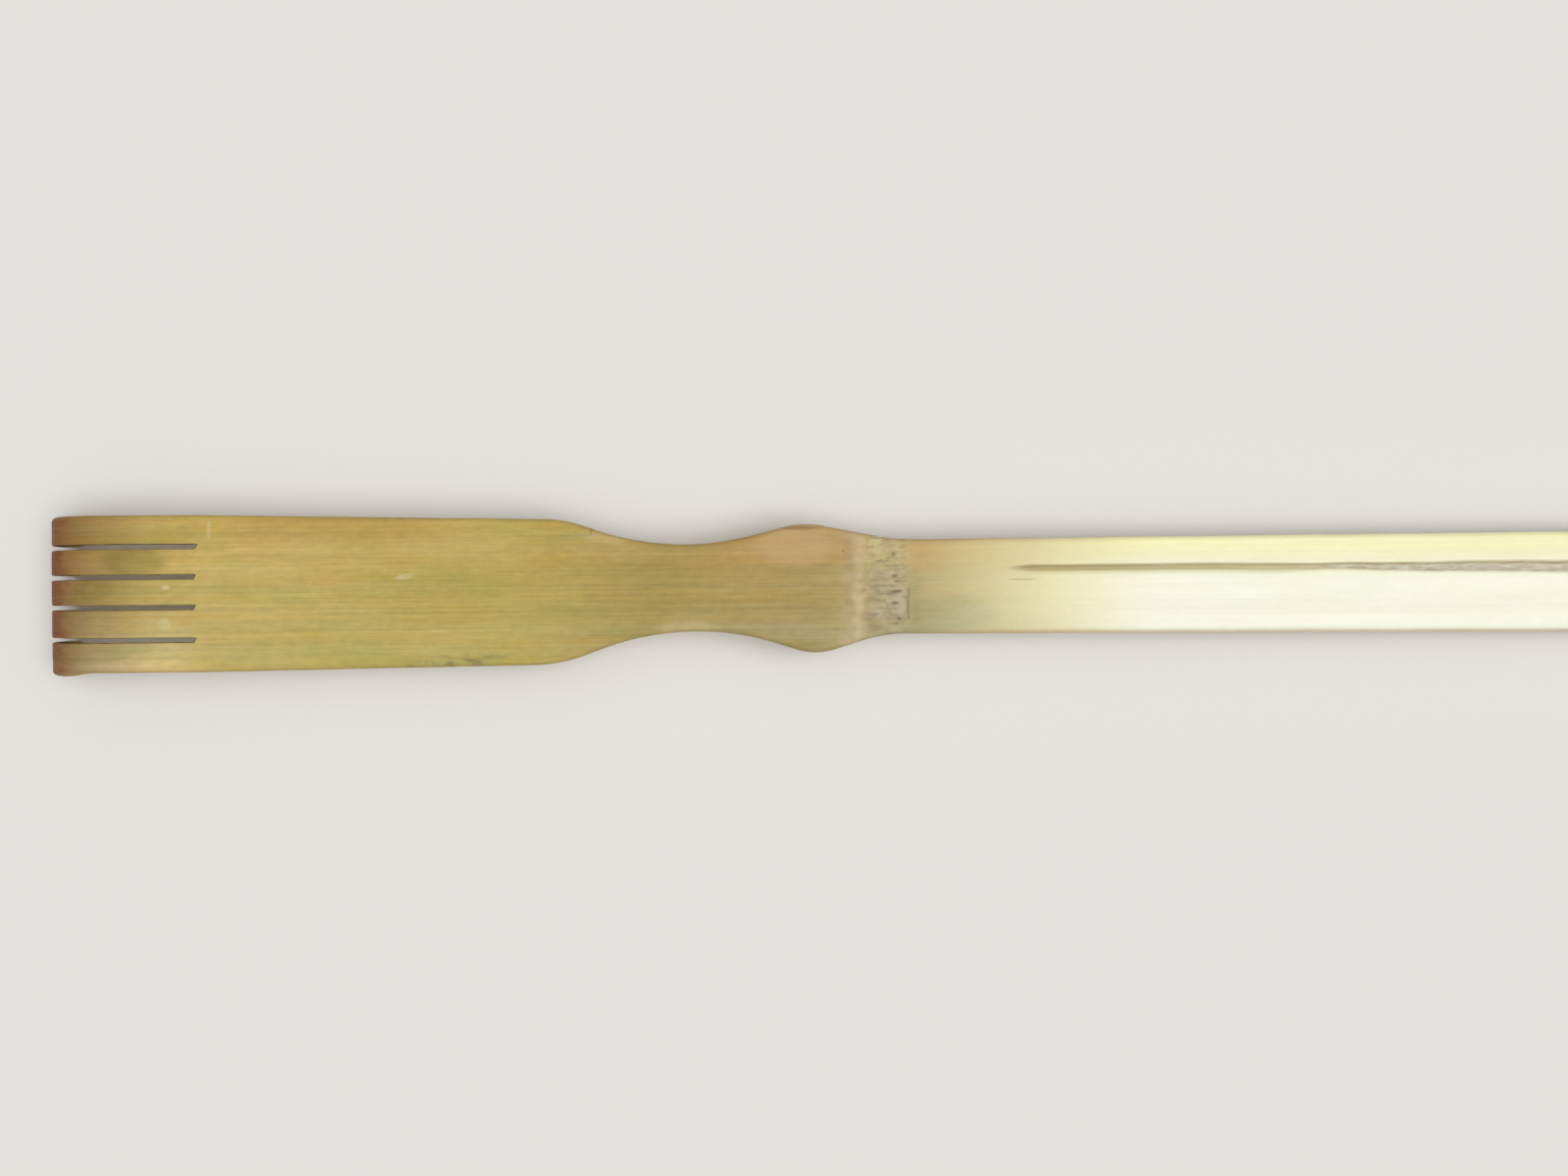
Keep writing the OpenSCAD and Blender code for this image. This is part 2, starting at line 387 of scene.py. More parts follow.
    def back(self, s: float, y: float) -> float:
        """Depth of the inner side, which follows the crown in the hand and is flat in the handle."""
        follow = along_line(s, ((self.shoulder_at, 1.0), (self.node_at, 0.0)))
        return self.thickness(s) + follow * self.crown(s, y)


@dataclass(frozen=True)
class Furrow:
    """A short sunken line in the node's band, with its half length, half width and depth."""

    s: float
    y: float
    long: float
    wide: float
    depth: float

    def at(self, s: float, y: float) -> float:
        """Depth of the furrow at a place."""
        return self.depth * swell(min(1.0, math.hypot((s - self.s) / self.long, (y - self.y) / self.wide)))


@dataclass(frozen=True)
class Relief:
    """The raised and sunken forms of the skin, in millimetres above it."""

    ridge_at: float = 158.2
    ridge_width: float = 5.6
    ridge_height: float = 0.55
    ridge_wander: float = 0.7
    ridge_jitter: float = 0.25
    ridge_lumps: float = 0.45
    scar_at: float = 168.2
    scar_width: float = 1.1
    scar_height: float = 0.12
    scar_y: float = -2.8
    scar_reach: float = 4.5
    scar_wander: float = 0.3
    band_fade: float = 2.2
    wrinkle_depth: float = 0.1
    fine_wrinkles: float = 0.6
    groove_at: float = 187.5
    groove_y: float = 3.6
    groove_depth: float = 0.45
    groove_fade: float = 45.0
    groove_wander: float = 0.5
    groove_wave: float = 26.0
    groove_jitter: float = 0.1
    groove_jitter_wave: float = 7.0
    groove_steep: float = 0.9
    groove_shallow: float = 1.5
    scrape: float = 0.035
    scrape_fade: float = 20.0
    node_before: float = 6.0
    node_beyond: float = 2.0
    furrows: tuple[Furrow, ...] = (
        Furrow(165.6, 2.3, 1.1, 0.5, 0.2), Furrow(165.9, 1.25, 1.2, 0.5, 0.2),
        Furrow(163.3, 0.4, 2.8, 0.42, 0.15), Furrow(165.9, -0.65, 2.4, 0.52, 0.24),
        Furrow(165.5, -2.9, 1.6, 0.5, 0.2), Furrow(162.6, -2.5, 2.0, 0.4, 0.1),
        Furrow(166.4, -6.0, 0.6, 0.5, 0.16), Furrow(165.8, -7.0, 1.6, 0.45, 0.16),
        Furrow(165.7, 4.4, 0.7, 0.5, 0.1), Furrow(165.4, 6.5, 0.7, 0.9, 0.1),
        Furrow(160.1, 8.6, 0.5, 1.8, 0.14), Furrow(162.4, 5.4, 1.8, 0.4, 0.1),
        Furrow(155.6, 7.2, 0.6, 0.5, 0.14))

    def groove_line(self, s: float) -> float:
        """Middle of the groove, which wanders a little across the handle.

        Args:
            s: Place along the strip.

        Returns:
            Its place across the strip.
        """
        slow = self.groove_wander * ripple(s, 0, self.groove_wave, 1, 3.1)
        quick = self.groove_jitter * ripple(s, 0, self.groove_jitter_wave, 1, 5.7)
        return self.groove_y + slow + quick

    def groove_half(self, s: float) -> float:
        """Half width of the groove, which opens out towards the butt."""
        start = self.groove_at
        return along_line(s, (
            (start, 0.45), (start + 5, 0.85), (start + 52, 0.95), (start + 62, 0.65), (start + 100, 1.2)))

    def groove(self, s: float, y: float, strip: Strip) -> float:
        """Depth of the groove, which is steep on its left and shallow on its right.

        Args:
            s: Place along the strip.
            y: Place across it.
            strip: The strip that the groove runs along.

        Returns:
            The depth below the skin.
        """
        start, begun = self.groove_at, self.groove_at + self.groove_fade
        share = along_line(s, (
            (start, 0.0), (start + 6, 0.4), (begun, 0.6), (begun + 20, 1.0),
            (strip.butt_at - self.groove_fade, 1.0), (strip.butt_at, 0.0)))
        off = y - self.groove_line(s)
        reach = self.groove_half(s) * (self.groove_steep if off > 0 else self.groove_shallow)
        return self.groove_depth * share * swell(off / reach)

    def node(self, s: float, y: float) -> float:
        """Height of the stem's node: a ridge, a wrinkled band and half of a leaf scar.

        Args:
            s: Place along the strip.
            y: Place across it.

        Returns:
            The height above the skin.
        """
        wander = s + self.ridge_wander * ripple(0, y, 1, 3.6, 1.7)
        wander += self.ridge_jitter * ripple(0, y, 1, 0.9, 8.1)
        lumps = 1 + self.ridge_lumps * ripple(s, y, 4, 1.8, 4.4)
        ridge = self.ridge_height * lumps * swell((wander - self.ridge_at) / (self.ridge_width / 2))
        scar_line = s + self.scar_wander * ripple(0, y, 1, 2.4, 9.9)
        scar = self.scar_height * swell((scar_line - self.scar_at) / (self.scar_width / 2))
        scar *= swell((y - self.scar_y) / self.scar_reach)
        inside = eased(wander, self.ridge_at, self.ridge_at + self.band_fade)
        inside *= eased(s, self.scar_at + 0.4, self.scar_at - 0.8)
        wrinkles = ripple(s, y, 4.2, 0.6, 2.2) + self.fine_wrinkles * ripple(s, y, 1.5, 1.1, 6.6)
        sunken = sum(furrow.at(s, y) for furrow in self.furrows)
        return ridge + scar + self.wrinkle_depth * inside * wrinkles - sunken

    def height(self, s: float, y: float, strip: Strip) -> float:
        """All the forms together, with the faint flats that scraping leaves.

        Args:
            s: Place along the strip.
            y: Place across it.
            strip: The strip that carries them.

        Returns:
            The height above the smooth skin.
        """
        scraped = self.scrape * ripple(s, y, 30, 2.6, 0.4)
        scraped *= eased(s, strip.handle_at + self.scrape_fade, strip.node_at)
        if s < strip.node_at - self.node_before:
            return scraped
        if s > strip.handle_at + self.node_beyond:
            return scraped - self.groove(s, y, strip)
        return scraped + self.node(s, y)

    def forms(self, s: float, y: float, strip: Strip) -> Vector:
        """The forms at a place, for a finish: height, way off the groove, and the groove's half width."""
        return Vector((self.height(s, y, strip), y - self.groove_line(s), self.groove_half(s)))


@dataclass(frozen=True)
class Ring:
    """How many faces a cross-section has on each of its stretches."""

    skin: int = 84
    edge: int = 6
    side: int = 6
    back_edge: int = 4
    back: int = 24

    @staticmethod
    def rounds(radius: float, count: int) -> list[float]:
        """Distances inside an edge at even steps round it, from the edge inwards."""
        return [radius * (1 - math.cos(math.pi / 2 * i / count)) for i in range(count + 1)]

    def skin_places(self, right: float, left: float, right_round: float, left_round: float) -> list[float]:
        """Places across the skin from the right edge to the left one.

        Args:
            right: Place of the right edge.
            left: Place of the left edge.
            right_round: Radius of the right edge.
            left_round: Radius of the left edge.

        Returns:
            The places, close together on the rounds.
        """
        low, high = right + right_round, left - left_round
        middle = [low + (high - low) * i / self.skin for i in range(1, self.skin)]
        near = [right + inside for inside in self.rounds(right_round, self.edge)]
        far = [left - inside for inside in reversed(self.rounds(left_round, self.edge))]
        return near + middle + far

    def back_places(self, right: float, left: float, radius: float) -> list[float]:
        """Places across the inner side from the left edge to the right one.

        Args:
            right: Place of the right edge.
            left: Place of the left edge.
            radius: Radius of both edges.

        Returns:
            The places, close together on the rounds.
        """
        low, high = right + radius, left - radius
        middle = [high + (low - high) * i / self.back for i in range(1, self.back)]
        near = [left - inside for inside in self.rounds(radius, self.back_edge)]
        far = [right + inside for inside in reversed(self.rounds(radius, self.back_edge))]
        return near + middle + far


@dataclass(frozen=True)
class Section:
    """One cross-section of the strip: its place, its edges and how near it is to an end."""

    s: float
    right: float
    left: float
    right_round: float
    left_round: float
    end_gap: float
    end_round: float

    def points(self, strip: Strip, relief: Relief, ring: Ring) -> list[tuple[float, float, float]]:
        """Points round the section, along the skin from right to left and back along the inner side.

        Args:
            strip: The strip's sizes.
            relief: The forms on its skin.
            ring: How many points to make.

        Returns:
            For each point its y, its depth and its share of the thickness.
        """
        end = worn(self.end_gap, self.end_round)
        made = []
        for y in ring.skin_places(self.right, self.left, self.right_round, self.left_round):
            skin = strip.crown(self.s, y) - relief.height(self.s, y, strip)
            fall = max(worn(y - self.right, self.right_round), worn(self.left - y, self.left_round), end)
            made.append((y, skin + fall, fall / strip.thickness(self.s)))
        under = []
        back_round = strip.back_round
        back_end = worn(self.end_gap, min(self.end_round, back_round))
        for y in ring.back_places(self.right, self.left, back_round):
            fall = max(worn(y - self.right, back_round), worn(self.left - y, back_round), back_end)
            under.append((y, strip.back(self.s, y) - fall, 1 - fall / strip.thickness(self.s)))
        left_side = self.between(made[-1], under[0], ring.side)
        right_side = self.between(under[-1], made[0], ring.side)
        return made + left_side + under + right_side

    @staticmethod
    def between(first: tuple[float, ...], last: tuple[float, ...], count: int) -> list[tuple[float, ...]]:
        """Even steps from one point to another, without the two themselves."""
        return [tuple(a + (b - a) * i / count for a, b in zip(first, last)) for i in range(1, count)]


@dataclass(frozen=True)
class Stretch:
    """One piece of the strip between two places on it, built as a closed tube of cross-sections."""

    node: str
    places: tuple[float, ...]
    ring: Ring = Ring()

    @property
    def name(self) -> str:
        """Name of the piece that stands for the node."""
        return f"{self.node}_wood"

    def section(self, s: float, strip: Strip) -> Section:
        """The strip's own cross-section at a place along it.

        Args:
            s: Place along the strip.
            strip: The strip's sizes.

        Returns:
            The cross-section, from edge to edge.
        """
        right, left = -strip.edge(s, Side.RIGHT), strip.edge(s, Side.LEFT)
        rounded = strip.edge_round
        return Section(s, right, left, rounded, rounded, strip.length - s, rounded)

    def build(self, strip: Strip, relief: Relief) -> bpy.types.Object:
        """Rolls a grid into the tube, closes its ends and keeps each point's place on the flat strip.

        Args:
            strip: The strip's sizes.
            relief: The forms on its skin.

        Returns:
            The new piece, in the frame's place.
        """
        rows = [self.section(s, strip).points(strip, relief, self.ring) for s in self.places]
        around = len(rows[0])
        bm = bmesh.new()
        along = len(self.places) - 1
        bmesh.ops.create_grid(bm, x_segments=along, y_segments=around, size=0.5)
        flat = bm.verts.layers.float_vector.new("strip")
        forms = bm.verts.layers.float_vector.new("forms")
        seat = strip.seat()
        for vert in bm.verts:
            row = round((vert.co.x + 0.5) * along)
            y, depth, share = rows[row][round((vert.co.y + 0.5) * around) % around]
            s = self.places[row]
            x, z = strip.bent(s, depth)
            vert.co = seat @ Vector((x, y, z))
            vert[flat] = Vector((s, y, share))
            vert[forms] = relief.forms(s, y, strip)
        bmesh.ops.remove_doubles(bm, verts=bm.verts, dist=WELD)
        ends = [edge for edge in bm.edges if edge.is_boundary]
        bmesh.ops.holes_fill(bm, edges=ends, sides=0)
        bmesh.ops.recalc_face_normals(bm, faces=bm.faces)
        return make_piece(bm, self.name)


@dataclass(frozen=True)
class Finger(Stretch):
    """One finger of the claw, counted from 1 at the left edge."""

    number: int = 1
    saw_wobble: float = 0.05
    saw_length: float = 2.6
    ring: Ring = Ring(skin=26, edge=5, side=8, back_edge=4, back=12)

    def edges(self, s: float, strip: Strip) -> tuple[float, float]:
        """The finger's right and left edges before its tip is rounded, uneven where it was sawn.

        Args:
            s: Place along the finger.
            strip: The strip's sizes.

        Returns:
            The right edge and the left edge.
        """
        half_cut = strip.kerf_width / 2
        left = right = strip.hand_width / 2
        saw = self.saw_wobble * ripple(s, 0, self.saw_length, 1, self.number * 3.7)
        if self.number > 1:
            left = strip.kerf_line(self.number - 1) - half_cut + saw
        if self.number < strip.finger_count:
            right = strip.kerf_line(self.number) + half_cut + saw
        else:
            right = -right - strip.tip_flare * eased(s, strip.flare_from, strip.flare_to)
        return right, left

    def section(self, s: float, strip: Strip) -> Section:
        """A cross-section of the finger, drawn in at the corners of its tip.

        Args:
            s: Place along the finger.
            strip: The strip's sizes.

        Returns:
            The cross-section, from edge to edge.
        """
        right, left = self.edges(s, strip)
        drawn_in = worn(s - strip.tip_at, strip.tip_round)
        return Section(
            s, right + drawn_in, left - drawn_in,
            strip.edge_round if self.number == strip.finger_count else strip.kerf_edge,
            strip.edge_round if self.number == 1 else strip.kerf_edge,
            s - strip.tip_at, strip.tip_edge)


def make_piece(bm: bmesh.types.BMesh, name: str) -> bpy.types.Object:
    """Turns a bmesh into an object at the origin and frees the bmesh.

    Args:
        bm: The finished bmesh, in metres.
        name: Name of the object.

    Returns:
        The object, linked to the scene.
    """
    mesh = bpy.data.meshes.new(name)
    bm.to_mesh(mesh)
    bm.free()
    piece = bpy.data.objects.new(name, mesh)
    bpy.context.scene.collection.objects.link(piece)
    return piece


def shade_smooth(piece: bpy.types.Object, crease: float = math.radians(38)) -> None:
    """Shades a piece smooth, with a sharp edge wherever its faces meet at more than the crease.

    Args:
        piece: The piece to shade.
        crease: The angle, in radians, from which an edge stays sharp.
    """
    bm = bmesh.new()
    bm.from_mesh(piece.data)
    for face in bm.faces:
        face.smooth = True
    for edge in bm.edges:
        edge.smooth = edge.calc_face_angle(math.pi) < crease
    bm.to_mesh(piece.data)
    bm.free()


def cut_away(piece: bpy.types.Object, cutter: bpy.types.Object) -> None:
    """Takes a cutter's shape out of a piece and removes the cutter.

    Args:
        piece: The piece to cut.
        cutter: A closed shape, which is deleted afterwards.
    """
    cut = piece.modifiers.new("cut", "BOOLEAN")
    cut.operation = "DIFFERENCE"
    cut.solver = "EXACT"
    cut.object = cutter
    graph = bpy.context.evaluated_depsgraph_get()
    mesh = bpy.data.meshes.new_from_object(piece.evaluated_get(graph))
    piece.modifiers.clear()
    piece.data = mesh
    bpy.data.objects.remove(cutter)


def keep_places(piece: bpy.types.Object, strip: Strip, relief: Relief) -> None:
    """Cleans up after a cut, and gives the new points their places on the flat strip, in a straight piece.

    Args:
        piece: A piece behind the bend.
        strip: The strip's sizes.
        relief: The forms on its skin.
    """
    lift = strip.seat().inverted()
    bm = bmesh.new()
    bm.from_mesh(piece.data)
    bmesh.ops.dissolve_degenerate(bm, dist=SLIVER, edges=bm.edges)
    flat = bm.verts.layers.float_vector["strip"]
    forms = bm.verts.layers.float_vector["forms"]
    for vert in bm.verts:
        s, y, z = lift @ vert.co
        if (vert[flat].xy - Vector((s, y))).length < SAME_PLACE:
            continue
        skin = strip.crown(s, y) - relief.height(s, y, strip)
        vert[flat] = Vector((s, y, min(max((-z - skin) / strip.thickness(s), 0.0), 1.0)))
        vert[forms] = relief.forms(s, y, strip)
    bm.to_mesh(piece.data)
    bm.free()


@dataclass(frozen=True)
class SawCutEnds:
    """The slanted ends of the saw cuts, where they run on into the palm."""

    reach_above: float = 3.0
    lead: float = 1.0

    def cutter(self, cut: int, strip: Strip) -> bpy.types.Object:
        """A wedge of the shape of one saw cut's end.

        Args:
            cut: The saw cut, counted from 1 at the left.
            strip: The strip's sizes.

        Returns:
            The wedge.
        """
        bm = bmesh.new()
        bmesh.ops.create_cube(bm, size=1.0)
        middle, half = strip.kerf_line(cut), strip.kerf_width / 2
        root = strip.finger_length
        end = root + strip.kerf_overrun[cut - 1]
        seat = strip.seat()
        for vert in bm.verts:
            y = middle + math.copysign(half, vert.co.y)
            s = root - self.lead
            if vert.co.x > 0:
                s = end + (strip.kerf_slant if vert.co.y > 0 else 0.0)
            z = self.reach_above if vert.co.z > 0 else -strip.palm_thickness - self.reach_above
            vert.co = seat @ Vector((s, y, z))
        bmesh.ops.recalc_face_normals(bm, faces=bm.faces)
        return make_piece(bm, "saw_cut_end")


@dataclass(frozen=True)
class HangingHole:
    """The hole through the butt, with worn rims."""

    rim: float = 0.45
    segments: int = 72
    past: float = 2.0

    def cutter(self, strip: Strip) -> bpy.types.Object:
        """A round bar that opens out at the skin and at the inner side.

        Args:
            strip: The strip's sizes.

        Returns:
            The bar.
        """
        skin = -strip.crown(strip.hole_at, 0.0)
        back = -strip.grip_thickness
        bore = strip.hole_radius
        wide = bore + self.rim + self.past
        profile = (
            (wide, back - self.past), (bore, back + self.rim),
            (bore, skin - self.rim), (wide, skin + self.past))
        bm = bmesh.new()
        verts = [bm.verts.new((radius, 0.0, z)) for radius, z in profile]
        edges = [bm.edges.new(pair) for pair in zip(verts, verts[1:])]
        bmesh.ops.spin(bm, geom=verts + edges, cent=(0, 0, 0), axis=(0, 0, 1), angle=math.tau,
                       steps=self.segments, use_merge=True)
        bmesh.ops.holes_fill(bm, edges=[edge for edge in bm.edges if edge.is_boundary], sides=0)
        place = strip.seat() @ Matrix.Translation((strip.hole_at, 0, 0))
        bmesh.ops.transform(bm, matrix=place, verts=bm.verts)
        bmesh.ops.recalc_face_normals(bm, faces=bm.faces)
        return make_piece(bm, "hole_bar")


class Signal:
    """A value or colour inside a node tree, on which sums are written as sums."""

    def __init__(self, graph: "Graph", socket: bpy.types.NodeSocket | None) -> None:
        """Wraps an output socket of a graph's node."""
        self.graph = graph
        self.socket = socket

    def math(self, operation: str, *others: "Signal | float") -> "Signal":
        """Adds a Math node on this value and others.

        Args:
            operation: The Math node's operation.
            others: Its further values.

        Returns:
            The result.
        """
        values = dict(enumerate((self, *others)))
        return self.graph.node("ShaderNodeMath", {"operation": operation}, values)

    def __add__(self, other: "Signal | float") -> "Signal":
        """This plus another."""
        return self.math("ADD", other)

    __radd__ = __add__

    def __mul__(self, other: "Signal | float") -> "Signal":
        """This times another."""
        return self.math("MULTIPLY", other)

    __rmul__ = __mul__

    def __sub__(self, other: "Signal | float") -> "Signal":
        """This less another."""
        return self.math("SUBTRACT", other)

    def __rsub__(self, other: float) -> "Signal":
        """A number less this."""
        return self.graph.node("ShaderNodeMath", {"operation": "SUBTRACT"}, {0: other, 1: self})

    def __truediv__(self, other: "Signal | float") -> "Signal":
        """This over another."""
        return self.math("DIVIDE", other)

    def rise(self, low: float, high: float) -> "Signal":
        """A smooth step from 0 at low to 1 at high, where low may be the larger."""
        return self.graph.node("ShaderNodeMapRange", {"interpolation_type": "SMOOTHSTEP"},
                               {"Value": self, "From Min": low, "From Max": high})

    def band(self, low: float, high: float, soft: float) -> "Signal":
        """A mask that is 1 between low and high and fades out over soft on both sides."""
        return self.rise(low - soft, low) * self.rise(high + soft, high)

    def mixed(self, share: "Signal | float", other: "Signal | Colour", blend: str = "MIX") -> "Signal":
        """This colour with a share of another, laid on it as blend says."""
        return self.graph.mix(share, self, other, blend)

    def tinted(self, share: "Signal", tint: Tint) -> "Signal":
        """This colour with a share of it multiplied by a tint."""
        return self.mixed(share, (*tint, 1.0), "MULTIPLY")

    def shaded(self, shade: "Signal") -> "Signal":
        """This colour made lighter or darker by a factor."""
        return self.mixed(1.0, self.graph.vector(shade, shade, shade), "MULTIPLY")


class Graph:
    """The node tree of one material or of the world."""

    def __init__(self, owner: bpy.types.Material | bpy.types.World) -> None:
        """Empties the owner's tree.

        Args:
            owner: The material or the world that the tree belongs to.
        """
        owner.use_nodes = True
        self.tree = owner.node_tree
        self.tree.nodes.clear()

    def node(self, kind: str, settings: dict | None = None, values: dict | None = None,
             output: int | str = 0) -> Signal:
        """Adds a node, sets it up and joins its sockets.

        Args:
            kind: The node's type.
            settings: Its settings, and a ramp's stops, which are set first.
            values: Its sockets' numbers, colours or signals, by name or number.
            output: The output that is handed on.

        Returns:
            That output.
        """
        made = self.tree.nodes.new(kind)
        for key, value in (settings or {}).items():
            if key == "stops":
                self.set_stops(made.color_ramp, value)
            else:
                setattr(made, key, value)
        for key, value in (values or {}).items():
            if isinstance(value, Signal):
                self.tree.links.new(value.socket, made.inputs[key])
            else:
                made.inputs[key].default_value = value
        return Signal(self, made.outputs[output] if made.outputs else None)

    @staticmethod
    def set_stops(ramp: bpy.types.ColorRamp, stops: list[tuple[float, Colour]]) -> None:
        """Gives a ramp its stops, in order of place.

        Args:
            ramp: The ramp.
            stops: Places from 0 to 1, each with its colour.
        """
        while len(ramp.elements) < len(stops):
            ramp.elements.new(1.0)
        for element, (place, colour) in zip(ramp.elements, stops):
            element.position = place
            element.color = colour

    def attribute(self, name: str) -> Signal:
        """A vector that the mesh holds at each of its points."""
        return self.node("ShaderNodeAttribute", {"attribute_name": name}, output="Vector")

    def parts(self, vector: Signal) -> tuple[Signal, Signal, Signal]:
        """The three numbers of a vector."""
        split = self.node("ShaderNodeSeparateXYZ", None, {0: vector}).socket.node
        return tuple(Signal(self, output) for output in split.outputs)

    def vector(self, x: Signal | float, y: Signal | float, z: Signal | float) -> Signal:
        """A vector of three numbers."""
        return self.node("ShaderNodeCombineXYZ", None, {0: x, 1: y, 2: z})

    def noise(self, place: Signal, detail: float = 2.0, rough: float = 0.5) -> Signal:
        """Noise at a place, from 0 to 1."""
        return self.node("ShaderNodeTexNoise", None,
                         {"Vector": place, "Scale": 1.0, "Detail": detail, "Roughness": rough}, "Fac")

    def mix(self, share: Signal | float, first: Signal | Colour, last: Signal | Colour,
            blend: str = "MIX") -> Signal:
        """Mixes two colours.

        Args:
            share: How much of the last.
            first: The colour at 0.
            last: The colour at 1.
            blend: How the last lies on the first.

        Returns:
            The mixed colour.
        """
        settings = {"data_type": "RGBA", "blend_type": blend}
        return self.node("ShaderNodeMix", settings, {0: share, 6: first, 7: last}, 2)


@dataclass(frozen=True)
class Look:
    """What a finish says of a surface: its colour, roughness, coat and fine height in millimetres."""

    colour: Signal
    roughness: Signal
    coat: Signal
    height: Signal


@dataclass(frozen=True)
class Oval:
    """An oval mark: its middle, half its length and width, and its climb across per millimetre along."""

    s: float
    y: float
    long: float
    wide: float
    tilt: float = 0.0


@dataclass(frozen=True)
class Place:
    """Where a surface point lies on the flat strip, and what form is there, as signals."""

    s: Signal
    y: Signal
    share: Signal
    relief: Signal
    off_groove: Signal
    groove_half: Signal
    fibre_sheets: float = 3.0
    fibre_rough: float = 0.55
    spot_core: float = 0.45

    @property
    def graph(self) -> Graph:
        """The graph that the signals belong to."""
        return self.s.graph

    def cloud(self, long: float, wide: float, seed: Signal | float, detail: float,
              rough: float = 0.5) -> Signal:
        """Noise spread over the strip.

        Args:
            long: Length of its waves along the strip, in millimetres.
            wide: Length of its waves across the strip, in millimetres.
            seed: Picks one such noise from others.
            detail: Finer octaves.
            rough: How strong the finer octaves are.

        Returns:
            Noise from 0 to 1.
        """
        return self.graph.noise(self.graph.vector(self.s / long, self.y / wide, seed), detail, rough)

    def fibres(self, long: float, wide: float, detail: float = 2.0) -> Signal:
        """Noise drawn out along the strip, which changes with depth, for fibres of a length and width."""
        return self.cloud(long, wide, self.share * (self.fibre_sheets / wide), detail, self.fibre_rough)

    def spot(self, oval: Oval) -> Signal:
        """A soft mask over an oval mark.

        Args:
            oval: The mark.

        Returns:
            A mask from 0 to 1.
        """
        along = self.s - oval.s
        across = self.y - oval.y - along * oval.tilt
        off = self.graph.vector(along / oval.long, across / oval.wide, 0.0)
        reach = self.graph.node("ShaderNodeVectorMath", {"operation": "LENGTH"}, {0: off}, "Value")
        return reach.rise(1.0, self.spot_core)


@dataclass(frozen=True)
class Cloud:
    """Patches of another tone: the length, width, seed and roughness of their noise, and where they show."""

    long: float
    wide: float
    seed: float
    rough: float
    low: float
    high: float
    tint: Tint
    detail: float = 3.0

    def mask(self, at: Place) -> Signal:
        """A mask of the patches, from 0 to 1."""
        return at.cloud(self.long, self.wide, self.seed, self.detail, self.rough).rise(self.low, self.high)


